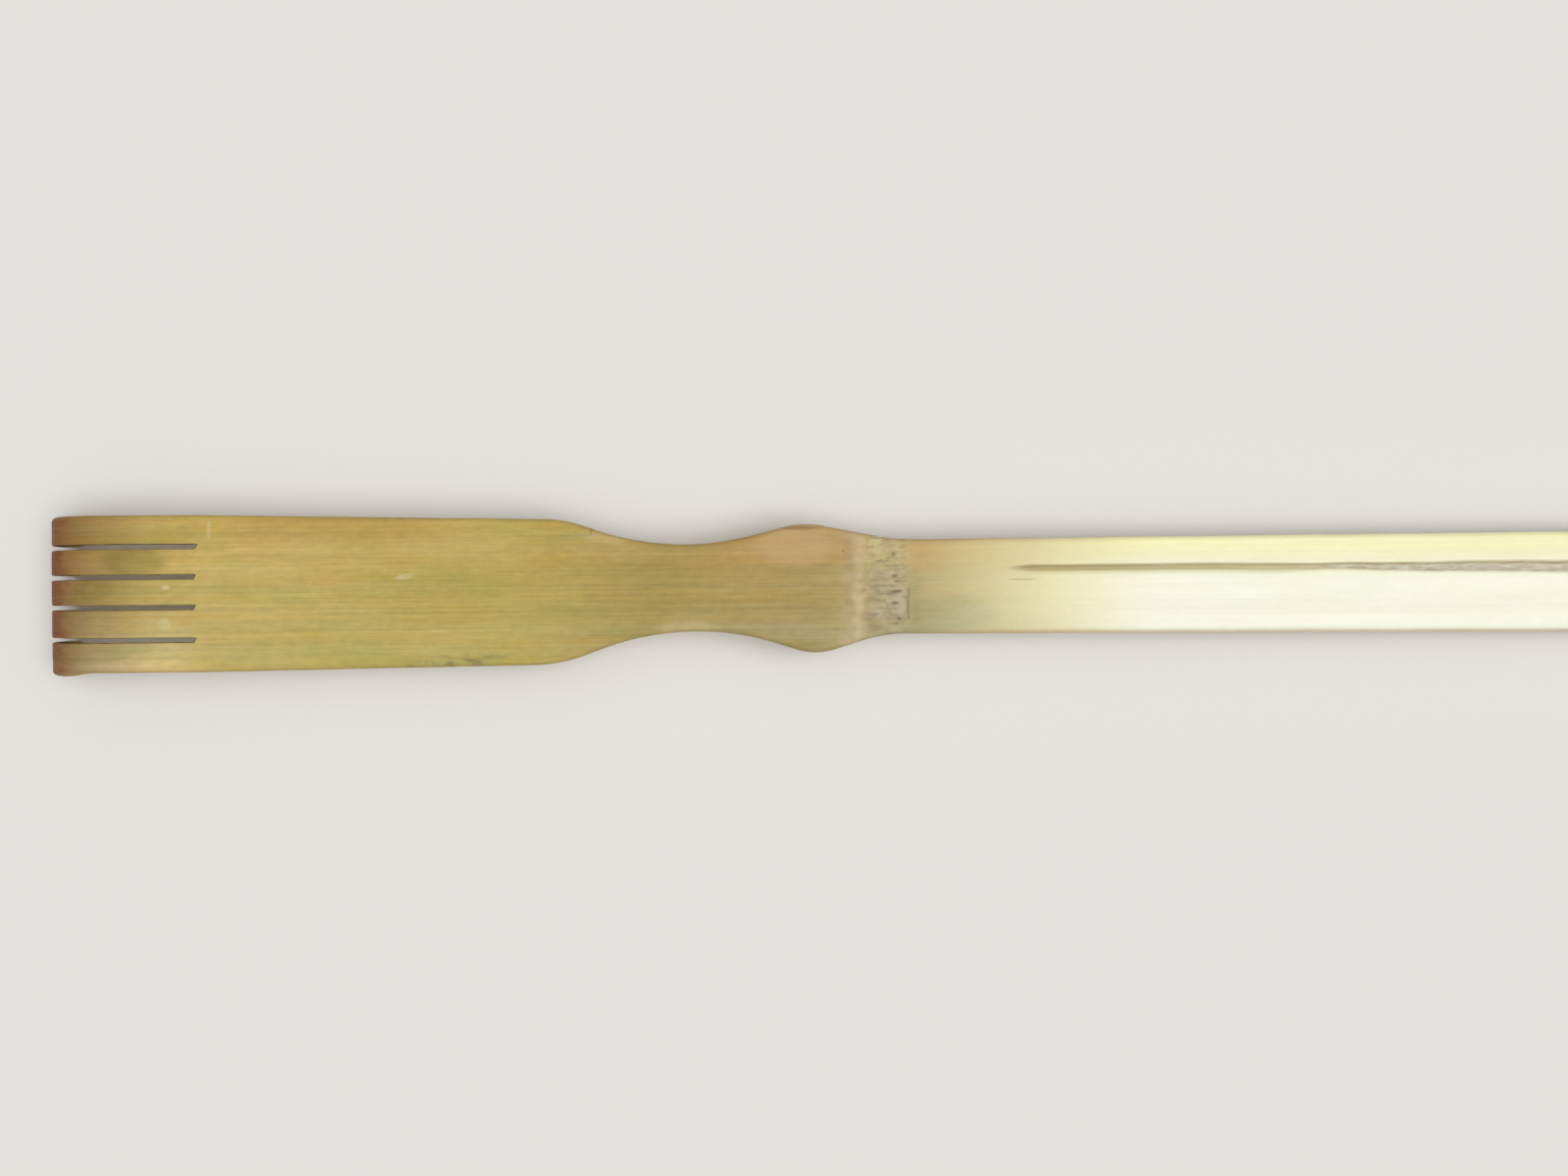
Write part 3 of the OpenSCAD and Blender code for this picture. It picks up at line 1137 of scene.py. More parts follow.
@dataclass(frozen=True)
class BambooFinish:
    """The bare wood that all pieces share: skin, cut sides and inner side, with fibres along the strip."""

    name: str
    slot: str
    strip: Strip
    relief: Relief
    cut_from: float = 0.1
    cut_to: float = 0.22
    cut_rougher: float = 0.12
    bare_roughness: float = 0.54
    rind_smoother: float = 0.18
    rind_coat: float = 0.5
    coat_roughness: float = 0.2
    specular: float = 0.2
    fibre_roughness: float = 0.25
    grain_roughness: float = 0.15
    fibre_height: float = 0.05
    rind_flatter: float = 0.036
    grain_height: float = 0.014
    bundles_per_mm: float = 1.35
    # Colour and strength of the painted shade laid on the sawn walls of the saw cuts.
    grime_and_painted_shade: Colour = srgb(70, 44, 26)
    painted_shade_share: float = 0.85
    grey_patch: Oval = Oval(177, -5.0, 11, 5.0)
    clouds: tuple[Cloud, ...] = (
        Cloud(15, 4.2, 9.4, 0.6, 0.46, 0.7, (1.0, 0.95, 0.82)),
        Cloud(18, 4.8, 2.7, 0.65, 0.44, 0.68, (0.89, 0.95, 0.88)),
        Cloud(24, 3.0, 6.1, 0.6, 0.5, 0.72, (1.07, 1.08, 1.12)))

    def skin_stops(self) -> list[tuple[float, Colour]]:
        """Colours of the skin from the claw to the butt; the handle's are pale partly by the rind's own
        colour and partly by painted glare.

        Returns:
            Places as shares of the length, each with its colour.
        """
        stops = (
            (0, (134, 97, 54)), (6, (142, 109, 62)), (10, (150, 124, 75)), (16, (166, 141, 83)),
            (23, (186, 162, 95)), (34, (192, 170, 101)), (92, (186, 166, 94)), (118, (172, 150, 90)),
            # From 182 on, the handle is paler partly by the rind's own colour and partly by painted glare.
            (150, (175, 153, 102)), (172, (189, 171, 121)), (182, (207, 194, 141)), (198, (228, 221, 172)),
            (217, (234, 232, 199)), (self.strip.length, (233, 229, 193)))
        return [(place / self.strip.length, srgb(*colour)) for place, colour in stops]

    def skin(self, at: Place) -> Signal:
        """Colour of the skin: warmer to the left, greener to the right, with fibres, streaks and clouds.

        Args:
            at: The place on the strip.

        Returns:
            The colour.
        """
        strip = self.strip
        along = at.s / strip.length
        colour = at.graph.node("ShaderNodeValToRGB", {"stops": self.skin_stops()}, {0: along})
        neck = at.s.band(strip.waist_at, strip.handle_at + 8, 22)
        colour = colour.tinted(at.y.rise(-1, 11) * (0.3 + neck * 0.7), (1.1, 1.0, 0.95))
        colour = colour.tinted(at.y.rise(2, -12) * (0.4 + neck * 0.6), (0.91, 0.98, 1.06))
        bare = 1 - at.s.rise(strip.node_at + 1, strip.handle_at + 16) * 0.75
        streak = at.fibres(120, 2.2)
        colour = colour.tinted(streak.rise(0.42, 0.68) * bare, (1.03, 0.985, 0.89))
        for cloud in self.clouds:
            colour = colour.tinted(cloud.mask(at) * bare, cloud.tint)
        colour = self.painted_light_and_patches(at, colour)
        colour = colour.shaded(1 + self.fibre_shade(at) * bare)
        dark = at.fibres(14, 0.3, 1.0)
        return colour.mixed(dark.rise(0.62, 0.76) * 0.12 * bare, srgb(122, 102, 56))

    @staticmethod
    def fibre_shade(at: Place) -> Signal:
        """How much the fibres and a fine mottle lighten or darken the skin.

        Args:
            at: The place on the strip.

        Returns:
            A share above or below nothing.
        """
        long_fibre = at.fibres(95, 0.6, 2.0)
        fine = at.fibres(34, 0.9, 2.0)
        fleck = at.fibres(8, 0.45, 2.0)
        mottle = at.cloud(2.4, 1.3, at.share, 3.0, 0.65)
        return (long_fibre - 0.5) * 0.38 + (fine - 0.5) * 0.2 + (fleck - 0.5) * 0.2 + (mottle - 0.5) * 0.36

    def painted_light_and_patches(self, at: Place, colour: Signal) -> Signal:
        """Paints light on the claw's right side and right edge and shade along the left edges of the claw
        and palm, and dulls patches that run from one piece into the next.

        Args:
            at: The place on the strip.
            colour: The skin so far.

        Returns:
            The skin with its patches.
        """
        # Painted light on the right side of the claw.
        light = at.y.rise(1.0, -11.0) * at.s.band(7, 26, 9)
        colour = colour.tinted(light, (1.13, 1.18, 1.5))
        # Painted highlight along the right edge of the claw and the front of the palm.
        rim = at.y.rise(-12.0, -14.0) * at.s.rise(52, 22)
        colour = colour.tinted(rim, (1.16, 1.14, 1.3))
        worn_middle = at.s.band(72, 156, 9) * at.y.band(-3.5, 4.0, 4.0)
        colour = colour.tinted(worn_middle, (0.94, 0.93, 0.83))
        # Painted shade along the left edge of the palm and, below, of the claw.
        painted_shade_shoulder = at.s.band(45, 72, 12) * at.y.rise(8.0, 11.5)
        colour = colour.tinted(painted_shade_shoulder, (0.92, 0.86, 0.81))
        left = at.y.rise(7.0, 9.5) * at.s.band(15, 30, 12)
        colour = colour.tinted(left, (0.91, 0.92, 0.87))
        scar_at = self.relief.scar_at
        past_scar = at.s.band(scar_at, scar_at + 1.4, 2.8) * at.y.band(-6.5, 0.5, 4.0)
        colour = colour.tinted(past_scar, (0.87, 0.9, 0.92))
        return colour.tinted(at.spot(self.grey_patch), (0.87, 0.91, 0.96))

    def cut_wood(self, at: Place) -> Signal:
        """Colour of the cut sides and the inner side, with the dark bundles of the stem's wall.

        Args:
            at: The place on the strip.

        Returns:
            The colour.
        """
        dense = at.share.rise(1.0, 0.1)
        colour = at.graph.mix(dense, srgb(212, 188, 134), srgb(190, 158, 98))
        bundles = at.fibres(70, 0.36, 2.0)
        colour = colour.mixed(bundles.rise(0.44, 0.7) * (0.22 + dense * 0.3), srgb(158, 122, 70))
        broad = at.fibres(140, 2.6)
        colour = colour.mixed(broad.rise(0.4, 0.75) * 0.35, srgb(198, 166, 106))
        pale = at.fibres(30, 0.5, 2.0)
        return colour.mixed(pale.rise(0.5, 0.72) * 0.3, srgb(226, 206, 156))

    def end_grain(self, at: Place, colour: Signal) -> Signal:
        """Dots the cut ends of the strip with the ends of its bundles, closer together near the skin.

        Args:
            at: The place on the strip.
            colour: The cut wood so far.

        Returns:
            The cut wood with its marks.
        """
        strip = self.strip
        deep = at.share * strip.grip_thickness
        place = at.graph.vector(at.y * self.bundles_per_mm, deep * self.bundles_per_mm, 0.0)
        cell = at.graph.node("ShaderNodeTexVoronoi", {"voronoi_dimensions": "2D"},
                             {"Vector": place, "Scale": 1.0, "Randomness": 0.7}, "Distance")
        dots = cell.rise(0.38, 0.2) * (0.4 + at.share.rise(0.9, 0.15) * 0.4)
        tips = at.s.rise(strip.tip_at + 0.35, strip.tip_at + 0.1)
        butt = at.s.rise(strip.length - 0.5, strip.length - 0.1)
        return colour.mixed(dots * (tips + butt), srgb(116, 80, 44))

    def details(self, at: Place, look: Look) -> Look:
        """Marks of one stretch of the strip, which a finish adds to the bare wood."""
        return look

    def cut_details(self, at: Place, colour: Signal) -> Signal:
        """Marks on the cut wood of one stretch."""
        return colour

    def arris(self, at: Place, colour: Signal) -> Signal:
        """Colour of the worn edge between the skin and the cut side."""
        return colour.mixed(at.share.band(0.05, 0.16, 0.05) * 0.1, srgb(164, 130, 78))

    def wood(self, at: Place) -> Look:
        """The bare wood of the whole strip.

        Args:
            at: The place on the strip.

        Returns:
            Its look.
        """
        rind = at.s.rise(self.strip.handle_at + 2, self.strip.handle_at + 42)
        fine = at.fibres(60, 0.5, 3.0)
        grain = at.cloud(1 / 2.2, 0.25, at.share * 9, 2.0)
        roughness = self.bare_roughness - rind * self.rind_smoother
        roughness = roughness + (fine - 0.5) * self.fibre_roughness + (grain - 0.5) * self.grain_roughness
        height = fine * (self.fibre_height - rind * self.rind_flatter) + grain * self.grain_height
        return Look(self.skin(at), roughness, rind * self.rind_coat, height)

    def material(self) -> bpy.types.Material:
        """Builds the finish, once for all the pieces that share it.

        Returns:
            The material.
        """
        if self.name in bpy.data.materials:
            return bpy.data.materials[self.name]
        material = bpy.data.materials.new(self.name)
        graph = Graph(material)
        strip, forms = (graph.parts(graph.attribute(name)) for name in ("strip", "forms"))
        at = Place(*strip, *forms)
        look = self.details(at, self.wood(at))
        cut = at.share.rise(self.cut_from, self.cut_to)
        wood = self.cut_details(at, self.end_grain(at, self.cut_wood(at)))
        colour = self.arris(at, look.colour.mixed(cut, wood))
        bump = graph.node("ShaderNodeBump", None, {"Height": look.height, "Strength": 1.0, "Distance": MM})
        surface = graph.node("ShaderNodeBsdfPrincipled", None, {
            "Base Color": colour, "Roughness": look.roughness + cut * self.cut_rougher,
            "Coat Weight": look.coat * (1 - cut), "Coat Roughness": self.coat_roughness,
            "Specular IOR Level": self.specular, "Normal": bump})
        graph.node("ShaderNodeOutputMaterial", None, {"Surface": surface})
        return material


@dataclass(frozen=True)
class ToastedFinish(BambooFinish):
    """The fingers, browned where they were bent over heat, with painted shade on the sawn walls between
    them.
    """

    second_finger_patch: Oval = Oval(20.0, 6.3, 8.2, 3.8)
    third_finger_patch: Oval = Oval(12.5, 1.0, 5.5, 2.8)
    third_finger_rub: Oval = Oval(26.2, 1.2, 1.0, 0.6)
    fourth_finger_rub: Oval = Oval(25.8, -5.8, 1.8, 1.5)

    def details(self, at: Place, look: Look) -> Look:
        """Browns the bend, dulls patches on two fingers and pales rubbed spots on two.

        Args:
            at: The place on the strip.
            look: The bare wood.

        Returns:
            The wood with its marks.
        """
        blotch = at.cloud(5, 2.2, at.share, 3.0)
        reach = at.s + (blotch - 0.5) * 10
        heat = reach.rise(8, 2) * (0.55 + at.y.band(-7.5, 7.5, 4.0) * 0.45)
        cooler = reach.rise(2, -9)
        colour = look.colour.tinted(heat * (1 - cooler * 0.7), (0.87, 0.5, 0.38))
        colour = colour.tinted(cooler, (1.2, 1.26, 1.2))
        scorch = at.fibres(7, 0.55, 3.0)
        smudge = scorch.rise(0.5, 0.74) * reach.band(-6, 3, 5)
        colour = colour.tinted(smudge, (0.66, 0.6, 0.54))
        patch = at.spot(self.second_finger_patch) * (0.7 + blotch.rise(0.3, 0.6) * 0.3)
        colour = colour.tinted(patch, (0.68, 0.71, 0.58))
        shadowy = at.spot(self.third_finger_patch) * blotch.rise(0.25, 0.55)
        colour = colour.tinted(shadowy, (0.82, 0.83, 0.7))
        rubbed = at.spot(self.third_finger_rub) * 0.55 + at.spot(self.fourth_finger_rub) * 0.3
        colour = colour.mixed(rubbed, srgb(218, 206, 158))
        return replace(look, colour=colour)

    def cut_details(self, at: Place, colour: Signal) -> Signal:
        """Browns the inner side of the bend, and paints shade onto the sawn walls.

        Args:
            at: The place on the strip.
            colour: The cut wood so far.

        Returns:
            The cut wood with its marks.
        """
        inner = self.strip.inner_half
        walls = at.share.band(0.18, 0.9, 0.06) * at.y.band(-inner, inner, 0.2) * at.s.rise(-10, -4)
        inside = at.share.rise(0.9, 0.98) * at.s.rise(24, 6)
        colour = colour.mixed(inside * 0.5, srgb(150, 110, 66))
        # Painted shade: the sawn walls between the fingers are darkened.
        return colour.mixed(walls * self.painted_shade_share, self.grime_and_painted_shade)


@dataclass(frozen=True)
class PalmFinish(BambooFinish):
    """The scraped palm, with a nick, a scratch, and mould in the grain along its right edge."""

    nick: Oval = Oval(71.4, 2.9, 2.3, 0.7, 0.16)
    scratch: Oval = Oval(34.3, 12.2, 0.5, 2.2)
    sawn_reach: float = 2.5

    def details(self, at: Place, look: Look) -> Look:
        """Adds the mould, the pale nick and the scratch.

        Args:
            at: The place on the strip.
            look: The bare wood.

        Returns:
            The wood with its marks.
        """
        specks = at.cloud(1 / 0.36, 1.25, 1.3, 3.0)
        edge = at.s.band(73, 88, 4) * at.y.rise(-11.4, -13.2)
        colour = look.colour.tinted(edge, (0.92, 0.98, 1.02))
        colour = colour.mixed(edge * specks.rise(0.46, 0.68) * 0.6, srgb(108, 106, 68))
        torn = at.fibres(1.4, 0.3, 2.0)
        nick = at.spot(self.nick) * torn.rise(0.25, 0.6)
        scratch = at.spot(self.scratch) * torn.rise(0.2, 0.6)
        colour = colour.mixed(nick * 0.5 + scratch * 0.35, srgb(220, 208, 162))
        return replace(look, colour=colour)

    def cut_details(self, at: Place, colour: Signal) -> Signal:
        """Paints shade onto the walls where the saw cuts end.

        Args:
            at: The place on the strip.
            colour: The cut wood so far.

        Returns:
            The cut wood with its marks.
        """
        inner = self.strip.inner_half
        end = self.strip.finger_length + self.sawn_reach
        walls = at.s.rise(end + 0.5, end) * at.y.band(-inner, inner, 0.2) * at.share.rise(0.95, 0.9)
        # Painted shade on the walls at the ends of the saw cuts.
        return colour.mixed(walls * self.painted_shade_share, self.grime_and_painted_shade)


@dataclass(frozen=True)
class NodeFinish(BambooFinish):
    """The neck and the stem's node, with the pale ridge, the wrinkled band and the leaf scar."""

    rosy_patch: Oval = Oval(146, 8.5, 10, 5.5)
    # A painted highlight on the waist's right edge.
    waist_painted_highlight: Oval = Oval(125.5, -7.9, 8.0, 2.6)
    pared_edge: Oval = Oval(109.5, 9.9, 6.0, 1.3, -0.2)
    knife_mark: Oval = Oval(107.0, 12.0, 0.45, 1.8)
    ochre_patch: Oval = Oval(154.6, 5.4, 2.6, 4.2)
    tan_patch: Oval = Oval(161.2, -6.6, 2.4, 2.0, -0.5)
    edge_streak: Oval = Oval(147.5, 11.7, 4.5, 0.5)

    def details(self, at: Place, look: Look) -> Look:
        """Colours the neck, the ridge, the band and the scar, and darkens what lies deep: partly the
        furrows' own dark lines, partly painted shade.

        Args:
            at: The place on the strip.
            look: The bare wood.

        Returns:
            The wood with its marks.
        """
        ridge_at, scar_at = self.relief.ridge_at, self.relief.scar_at
        blotch = at.cloud(2.4, 1.5, 0.0, 4.0, 0.6)
        broad = at.cloud(6, 3.5, 5.2, 2.0)
        crease = at.fibres(3.4, 0.45, 2.0)
        wander = at.s + (at.cloud(9, 2.6, 4.1, 3.0) - 0.5) * 5.0
        ragged = at.s + (broad - 0.5) * 6.0 * (1 - at.y.band(-6.5, 1.5, 1.5))
        band = wander.rise(ridge_at + 0.4, ridge_at + 2.4) * ragged.rise(scar_at + 1.2, scar_at - 1.4)
        colour = self.neck_marks(at, look.colour, blotch)
        colour = self.pale_ridge(at, colour, blotch, wander)
        colour = colour.mixed(band * (0.5 + broad.rise(0.35, 0.6) * 0.4), self.aged_wood(at, blotch))
        colour = colour.mixed(at.spot(self.tan_patch) * blotch.rise(0.3, 0.55) * 0.55, srgb(158, 134, 84))
        colour = colour.mixed(band * crease.rise(0.54, 0.7) * 0.4, srgb(128, 116, 88))
        # Darker where the skin is sunken: partly the furrows' own dark lines, partly painted shade in them.
        colour = colour.mixed(at.relief.rise(-0.02, -0.18) * 0.7, srgb(90, 84, 64))
        colour = self.leaf_scar(at, colour, blotch)
        colour = colour.mixed(at.spot(self.edge_streak) * 0.5, srgb(118, 92, 58))
        height = look.height + band * (blotch * 0.12 + crease * 0.08)
        return Look(colour, look.roughness + band * 0.12, look.coat * (1 - band), height)

    def neck_marks(self, at: Place, colour: Signal, blotch: Signal) -> Signal:
        """Lays the warm, pared and knife-marked places on the neck, and a painted highlight on the waist's
        right edge.

        Args:
            at: The place on the strip.
            colour: The bare wood.
            blotch: Noise that breaks up the marks.

        Returns:
            The wood with its marks.
        """
        colour = colour.mixed(at.spot(self.rosy_patch) * 0.5, srgb(200, 170, 122))
        # Painted highlight: a pale patch on the waist's right edge.
        rubbed = at.spot(self.waist_painted_highlight) * (0.5 + blotch.rise(0.35, 0.6) * 0.5)
        colour = colour.mixed(rubbed * 0.5 + at.spot(self.pared_edge) * 0.25, srgb(206, 186, 138))
        colour = colour.mixed(at.spot(self.knife_mark) * 0.4, srgb(134, 108, 60))
        ochre = at.spot(self.ochre_patch) * blotch.rise(0.3, 0.55)
        return colour.mixed(ochre * 0.18, srgb(174, 144, 86))

    def pale_ridge(self, at: Place, colour: Signal, blotch: Signal, wander: Signal) -> Signal:
        """Pales the ridge, more evenly on its right.

        Args:
            at: The place on the strip.
            colour: The wood so far.
            blotch: Noise that breaks up the ridge.
            wander: The place along the strip, uneven.

        Returns:
            The wood with its ridge.
        """
        ridge_at = self.relief.ridge_at
        right = at.y.rise(5.0, -2.0)
        crest = wander + right * 0.5
        pale = crest.rise(ridge_at - 3.6, ridge_at + 0.2) * crest.rise(ridge_at + 2.2, ridge_at + 0.8)
        pale = pale * (0.35 + blotch.rise(0.35, 0.62) * 0.45 + right * 0.2)
        return colour.mixed(pale * 0.8, srgb(205, 182, 146))

    @staticmethod
    def aged_wood(at: Place, blotch: Signal) -> Signal:
        """Colour of the wrinkled band, grey and yellower towards the left.

        Args:
            at: The place on the strip.
            blotch: Noise that mottles the band.

        Returns:
            The colour.
        """
        grey = at.graph.mix(blotch.rise(0.36, 0.62), srgb(160, 149, 121), srgb(189, 176, 143))
        warm = at.graph.mix(blotch.rise(0.4, 0.6), srgb(188, 168, 120), srgb(211, 196, 144))
        return grey.mixed(at.y.rise(2.0, 6.5) * 0.8, warm)

    def leaf_scar(self, at: Place, colour: Signal, blotch: Signal) -> Signal:
        """Draws the dark, broken line of the leaf scar.

        Args:
            at: The place on the strip.
            colour: The wood so far.
            blotch: Noise that breaks up the line.

        Returns:
            The wood with its scar.
        """
        scar_at = self.relief.scar_at
        waver = at.graph.noise(at.graph.vector(0.0, at.y / 1.8, 7.7), 2.0)
        uneven = at.s + (waver - 0.5) * 1.5
        line = uneven.band(scar_at - 0.05, scar_at + 0.1, 0.35) * at.y.band(-5.4, -0.6, 1.2)
        line = line * (0.4 + blotch.rise(0.35, 0.6) * 0.6)
        return colour.mixed(line * 0.62, srgb(108, 102, 76))

    def cut_details(self, at: Place, colour: Signal) -> Signal:
        """Marks where the stem's cross wall was planed off the inner side.

        Args:
            at: The place on the strip.
            colour: The cut wood so far.

        Returns:
            The cut wood with the mark.
        """
        swirl = at.cloud(6, 3.5, 3.3, 3.0)
        knot = at.cloud(1.2, 0.9, 8.1, 2.0)
        ridge_at = self.relief.ridge_at
        across = at.s + at.y * at.y * 0.012 + (swirl - 0.5) * 2.2
        inner = at.share.rise(0.8, 0.96)
        pale = across.band(ridge_at + 1.2, ridge_at + 6.2, 1.6) * inner
        colour = colour.mixed(pale * 0.35, srgb(222, 200, 150))
        wall = across.band(ridge_at + 3.2, ridge_at + 4.0, 1.2) * inner * (0.5 + knot.rise(0.35, 0.65) * 0.5)
        return colour.mixed(wall * 0.5, srgb(136, 102, 58))


@dataclass(frozen=True)
class RindFinish(BambooFinish):
    """The handle and the butt, with their waxy rind, painted light on the grip, and the stained groove with
    painted shade in it.
    """

    second_line: Oval = Oval(190.5, 1.45, 3.4, 0.28)
    torn_after: float = 50.5
    torn_over: float = 18.0

    def details(self, at: Place, look: Look) -> Look:
        """Stains the groove and paints shade into it, more on its left side, greys its floor towards the
        butt, and paints light on the grip.

        Args:
            at: The place on the strip.
            look: The bare wood.

        Returns:
            The wood with its marks.
        """
        start, butt_at = self.relief.groove_at, self.strip.butt_at
        across = at.off_groove / at.groove_half
        begun = at.s.rise(start - 1.0, start + 4.5) * at.s.rise(butt_at + 4.0, butt_at - 34.0)
        grime_and_painted_shade = at.fibres(9, 0.7, 3.0)
        torn_at = start + self.torn_after
        torn = at.s.rise(torn_at, torn_at + self.torn_over)
        narrow = across.band(-0.35, 0.3, 0.75) * (1 - torn)
        floor = (narrow + across.band(-0.95, 0.4, 0.4) * torn) * begun
        # Painted shade: a dark line along the groove's left edge.
        painted_shade_lip = across.band(0.25, 0.7, 0.35) * begun * (0.15 + grime_and_painted_shade * 0.6)
        # Painted light and glare on the grip.
        colour = self.tones_and_painted_light(at, look.colour)
        # The groove's floor, partly stained and partly painted shade.
        colour = colour.mixed(floor * (0.45 + grime_and_painted_shade * 0.6), self.groove_floor(at, torn))
        colour = colour.mixed(painted_shade_lip, srgb(146, 128, 76))
        colour = self.glinting(at, colour)
        colour = colour.mixed(at.spot(self.second_line) * 0.45, srgb(160, 146, 92))
        height = look.height + floor * grime_and_painted_shade * 0.1
        coat = look.coat * (1 - floor * 0.6) * (1 - painted_shade_lip * 0.8)
        return Look(colour, look.roughness + floor * 0.1, coat, height)

    def groove_floor(self, at: Place, torn: Signal) -> Signal:
        """Colour of the groove's floor: brown, partly stained and partly painted shade, then torn grey
        fibres.

        Args:
            at: The place on the strip.
            torn: How far the fibres are torn there.

        Returns:
            The colour.
        """
        start = self.relief.groove_at
        # Brown, partly stained and partly painted shade, darkest where the groove starts.
        stain_and_painted_shade = at.graph.mix(at.s.rise(start + 8.5, start + 52.5), srgb(152, 137, 80), srgb(178, 166, 108))
        shreds = at.fibres(3.0, 0.35, 2.0)
        bare = at.graph.mix(shreds.rise(0.4, 0.66), srgb(168, 156, 134), srgb(212, 204, 190))
        return stain_and_painted_shade.mixed(torn, bare)

    def glinting(self, at: Place, colour: Signal) -> Signal:
        """Sprinkles fine glints on the rind to the right of the groove's start.

        Args:
            at: The place on the strip.
            colour: The rind so far.

        Returns:
            The rind with its glints.
        """
        start = self.relief.groove_at
        sparkle = at.cloud(1 / 2.4, 1 / 2.6, 0.0, 1.0)
        glints = sparkle.rise(0.64, 0.7) * at.s.band(start - 3.5, start + 20.5, 14) * at.y.rise(3.0, 1.5)
        return colour.mixed(glints * 0.25, srgb(250, 245, 208))

    def tones_and_painted_light(self, at: Place, colour: Signal) -> Signal:
        """Paints light on the grip towards both edges, makes it yellower to the left of the groove, and
        paints a whiter glare to its right.

        Args:
            at: The place on the strip.
            colour: The rind so far.

        Returns:
            The rind with its tones and painted light.
        """
        start, butt_at = self.strip.handle_at, self.strip.butt_at
        grip = at.s.rise(start + 20.0, start + 46.0) * at.s.rise(butt_at - 4.0, butt_at - 84.0)
        colour = colour.tinted(at.off_groove.rise(0.3, 1.6) * grip, (1.0, 1.0, 0.94))
        # Painted glare: whiter to the right of the groove.
        colour = colour.tinted(at.off_groove.rise(-0.6, -2.6) * grip, (1.0, 1.01, 1.12))
        # Painted light towards both edges, against the shade of the handle's curve.
        colour = colour.tinted(at.y.rise(4.0, 9.0) * grip, (1.14, 1.16, 1.02))
        return colour.tinted(at.y.rise(-3.5, -8.8) * grip, (1.12, 1.13, 1.16))

    def arris(self, at: Place, colour: Signal) -> Signal:
        """Browns the worn edges, more on the right."""
        right = at.y.rise(0.0, -6.0) * at.s.rise(self.strip.handle_at - 1.0, self.strip.handle_at + 16.0)
        return colour.mixed(at.share.band(0.03, 0.2, 0.04) * (0.1 + right * 0.5), srgb(202, 168, 126))


@dataclass(frozen=True)
class Studio:
    """A pale floor, a broad soft lamp far off beyond the butt, light from above and the camera overhead.

    Lengths are in metres, apart from the lens and the sensor, which are in millimetres.
    """

    floor_side: float = 6.0
    floor_colour: Colour = srgb(228, 226, 222)
    floor_roughness: float = 0.9
    floor_specular: float = 0.1
    fill: float = 0.5
    fill_gather: float = 2.5
    backdrop: float = 0.76
    lamp_from: tuple[float, float, float] = (0.466, -0.07, 1.0)
    lamp_spread: float = math.radians(40)
    lamp_strength: float = 1.71
    camera_x: float = -0.0706
    camera_y: float = 0.00013
    camera_height: float = 0.2869
    camera_turn: float = -0.0084
    lens: float = 32.47
    sensor: float = 36.0
    nearest: float = 0.01

    def camera(self) -> None:
        """Sets the camera straight above the neck, turned a little as the picture is."""
        data = bpy.data.cameras.new("camera")
        data.lens = self.lens
        data.sensor_width = self.sensor
        data.clip_start = self.nearest
        camera = bpy.data.objects.new("camera", data)
        camera.location = (self.camera_x, self.camera_y, self.camera_height)
        camera.rotation_euler = (0.0, 0.0, self.camera_turn)
        bpy.context.scene.collection.objects.link(camera)
        bpy.context.scene.camera = camera

    def floor(self) -> None:
        """Lays the floor that the strip rests on."""
        bm = bmesh.new()
        bmesh.ops.create_grid(bm, x_segments=1, y_segments=1, size=self.floor_side / 2)
        floor = make_piece(bm, "floor")
        paint = bpy.data.materials.new("floor_paint")
        graph = Graph(paint)
        surface = graph.node("ShaderNodeBsdfPrincipled", None, {
            "Base Color": self.floor_colour, "Roughness": self.floor_roughness,
            "Specular IOR Level": self.floor_specular})
        graph.node("ShaderNodeOutputMaterial", None, {"Surface": surface})
        floor.data.materials.append(paint)

    def lamp(self) -> None:
        """Hangs the soft lamp."""
        data = bpy.data.lights.new("soft_lamp", "SUN")
        data.angle = self.lamp_spread
        data.energy = self.lamp_strength
        lamp = bpy.data.objects.new("soft_lamp", data)
        lamp.rotation_euler = Vector(self.lamp_from).to_track_quat("Z", "Y").to_euler()
        bpy.context.scene.collection.objects.link(lamp)

    def room(self) -> None:
        """Fills the room with light, more of it from straight above, and sets a pale backdrop behind."""
        world = bpy.data.worlds.new("room")
        graph = Graph(world)
        _, _, up = graph.parts(graph.node("ShaderNodeTexCoord", output="Generated"))
        gathered = up.math("MAXIMUM", 0.0).math("POWER", self.fill_gather)
        level = gathered * (self.fill * (self.fill_gather + 2) / 2)
        rays = graph.node("ShaderNodeLightPath").socket.node.outputs
        kinds = ("Is Camera Ray", "Is Glossy Ray", "Is Transmission Ray")
        camera, glossy, through = (Signal(graph, rays[kind]) for kind in kinds)
        seen = camera.math("MAXIMUM", glossy).math("MAXIMUM", through)
        shown = graph.node("ShaderNodeMix", None, {"Factor": seen, "A": level, "B": self.backdrop}, "Result")
        light = graph.node("ShaderNodeBackground", None, {"Color": (1.0, 1.0, 1.0, 1.0), "Strength": shown})
        graph.node("ShaderNodeOutputWorld", None, {"Surface": light})
        bpy.context.scene.world = world
        bpy.context.scene.view_settings.view_transform = "Standard"


def even(first: float, last: float, step: float) -> list[float]:
    """Places from first to last, about a step apart."""
    count = max(1, round((last - first) / step))
    return [first + (last - first) * i / count for i in range(count + 1)]


def chain(*runs: list[float]) -> tuple[float, ...]:
    """Joins runs of places that meet end to end.

    Args:
        runs: The runs, in order.

    Returns:
        All places, each once.
    """
    joined = list(runs[0])
    for run in runs[1:]:
        joined.extend(run[1:])
    return tuple(joined)


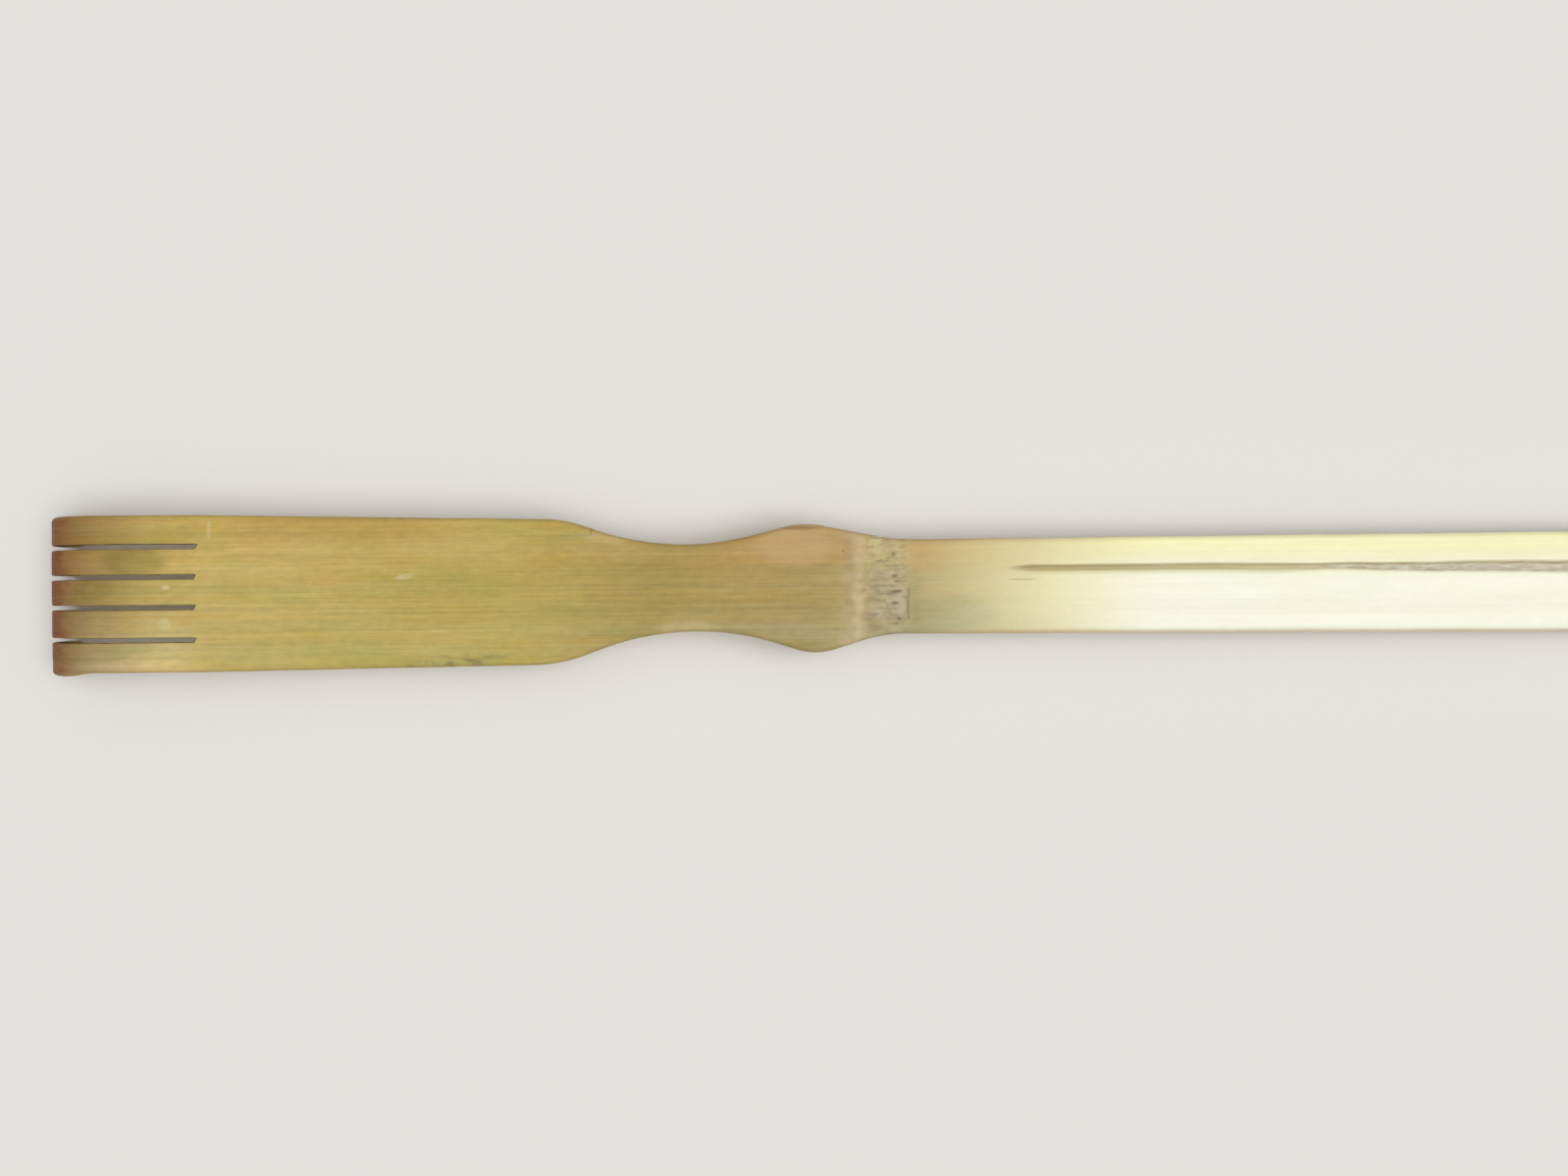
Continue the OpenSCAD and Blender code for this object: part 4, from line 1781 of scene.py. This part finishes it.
@dataclass(frozen=True)
class BackScratcher:
    """The whole strip: five fingers, palm, neck, node, handle and butt."""

    strip: Strip = Strip()
    relief: Relief = Relief()
    flex_length: float = 14.0
    tip_steps: int = 10
    finger_step: float = 0.5
    palm_step: float = 0.8
    neck_step: float = 0.7
    node_lead: float = 4.0
    node_lead_step: float = 0.2
    node_step: float = 0.12
    node_ring: Ring = Ring(skin=110)
    grip_lead: float = 30.0
    grip_lead_step: float = 0.5
    grip_step: float = 1.0
    butt_step: float = 0.8
    butt_steps: int = 28

    def stretches(self) -> list[tuple[Stretch, BambooFinish]]:
        """The pieces behind the fingers, each with its finish.

        Returns:
            The pieces from the palm to the butt.
        """
        strip, relief = self.strip, self.relief
        palm = PalmFinish("scraped_palm", "scraped_bamboo", strip, relief)
        node = NodeFinish("node_wood", "node_bamboo", strip, relief)
        neck = NodeFinish("scraped_neck", "scraped_bamboo", strip, relief)
        rind = RindFinish("waxy_rind", "rind_bamboo", strip, relief)
        near_node = strip.node_at - self.node_lead
        grip_at = strip.handle_at + self.grip_lead
        corner = strip.length - strip.butt_round
        rounds = reversed(Ring.rounds(strip.butt_round, self.butt_steps))
        return [
            (Stretch("palm", chain(even(strip.finger_length, strip.shoulder_at, self.palm_step))), palm),
            (Stretch("neck", chain(
                even(strip.shoulder_at, near_node, self.neck_step),
                even(near_node, strip.node_at, self.node_lead_step))), neck),
            (Stretch("culm_node", chain(
                even(strip.node_at, strip.handle_at, self.node_step)), self.node_ring), node),
            (Stretch("handle", chain(
                even(strip.handle_at, grip_at, self.grip_lead_step),
                even(grip_at, strip.butt_at, self.grip_step))), rind),
            (Stretch("butt", chain(
                even(strip.butt_at, corner, self.butt_step),
                [strip.length - inside for inside in rounds])), rind),
        ]

    def build_strip(self) -> None:
        """Builds, cuts and dresses the pieces that ride on the strip's body."""
        stretches = self.stretches()
        made = {stretch.node: stretch.build(self.strip, self.relief) for stretch, _ in stretches}
        for cut in range(1, self.strip.finger_count):
            cut_away(made["palm"], SawCutEnds().cutter(cut, self.strip))
        cut_away(made["butt"], HangingHole().cutter(self.strip))
        for node in ("palm", "butt"):
            keep_places(made[node], self.strip, self.relief)
        for stretch, finish in stretches:
            piece = made[stretch.node]
            self.dress(piece, finish.material(), stretch.node, finish.slot)
            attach(piece, Body.STRIP.value)
            report(piece)

    def build_fingers(self) -> None:
        """Builds the fingers round the bend of the claw."""
        strip = self.strip
        finish = ToastedFinish("toasted_finger", "toasted_bamboo", strip, self.relief)
        tip_corner = [strip.tip_at + inside for inside in Ring.rounds(strip.tip_round, self.tip_steps)]
        straight = even(strip.tip_at + strip.tip_round, strip.finger_length, self.finger_step)
        places = chain(tip_corner, straight)
        seat = strip.seat()
        for number in range(1, strip.finger_count + 1):
            node = Body.FINGER.value.format(number)
            finger = Finger(node, places, number=number)
            piece = finger.build(strip, self.relief)
            self.dress(piece, finish.material(), node, finish.slot)
            right, left = finger.edges(strip.finger_length, strip)
            middle = (right + left) / 2
            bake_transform(piece)
            report(piece)

    @staticmethod
    def dress(piece: bpy.types.Object, material: bpy.types.Material, node: str, slot: str) -> None:
        """Gives a piece its material and lets it stand for its node.

        Args:
            piece: The piece.
            material: Its finish.
            node: The frame's node that it stands for.
            slot: The record's slot of that finish; not used.
        """
        piece.data.materials.clear()
        piece.data.materials.append(material)
        shade_smooth(piece)
        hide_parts(node)


def report(piece: bpy.types.Object) -> None:
    """Logs a piece's name and how many faces it has."""
    LOG.info("%s: %d faces", piece.name, len(piece.data.polygons))


def main() -> None:
    """Builds the studio and the back scratcher."""
    logging.basicConfig(level=logging.INFO, format="%(message)s")
    studio = Studio()
    studio.camera()
    studio.floor()
    studio.lamp()
    studio.room()
    scratcher = BackScratcher()
    scratcher.build_strip()
    scratcher.build_fingers()


if __name__ == "__main__":
    main()
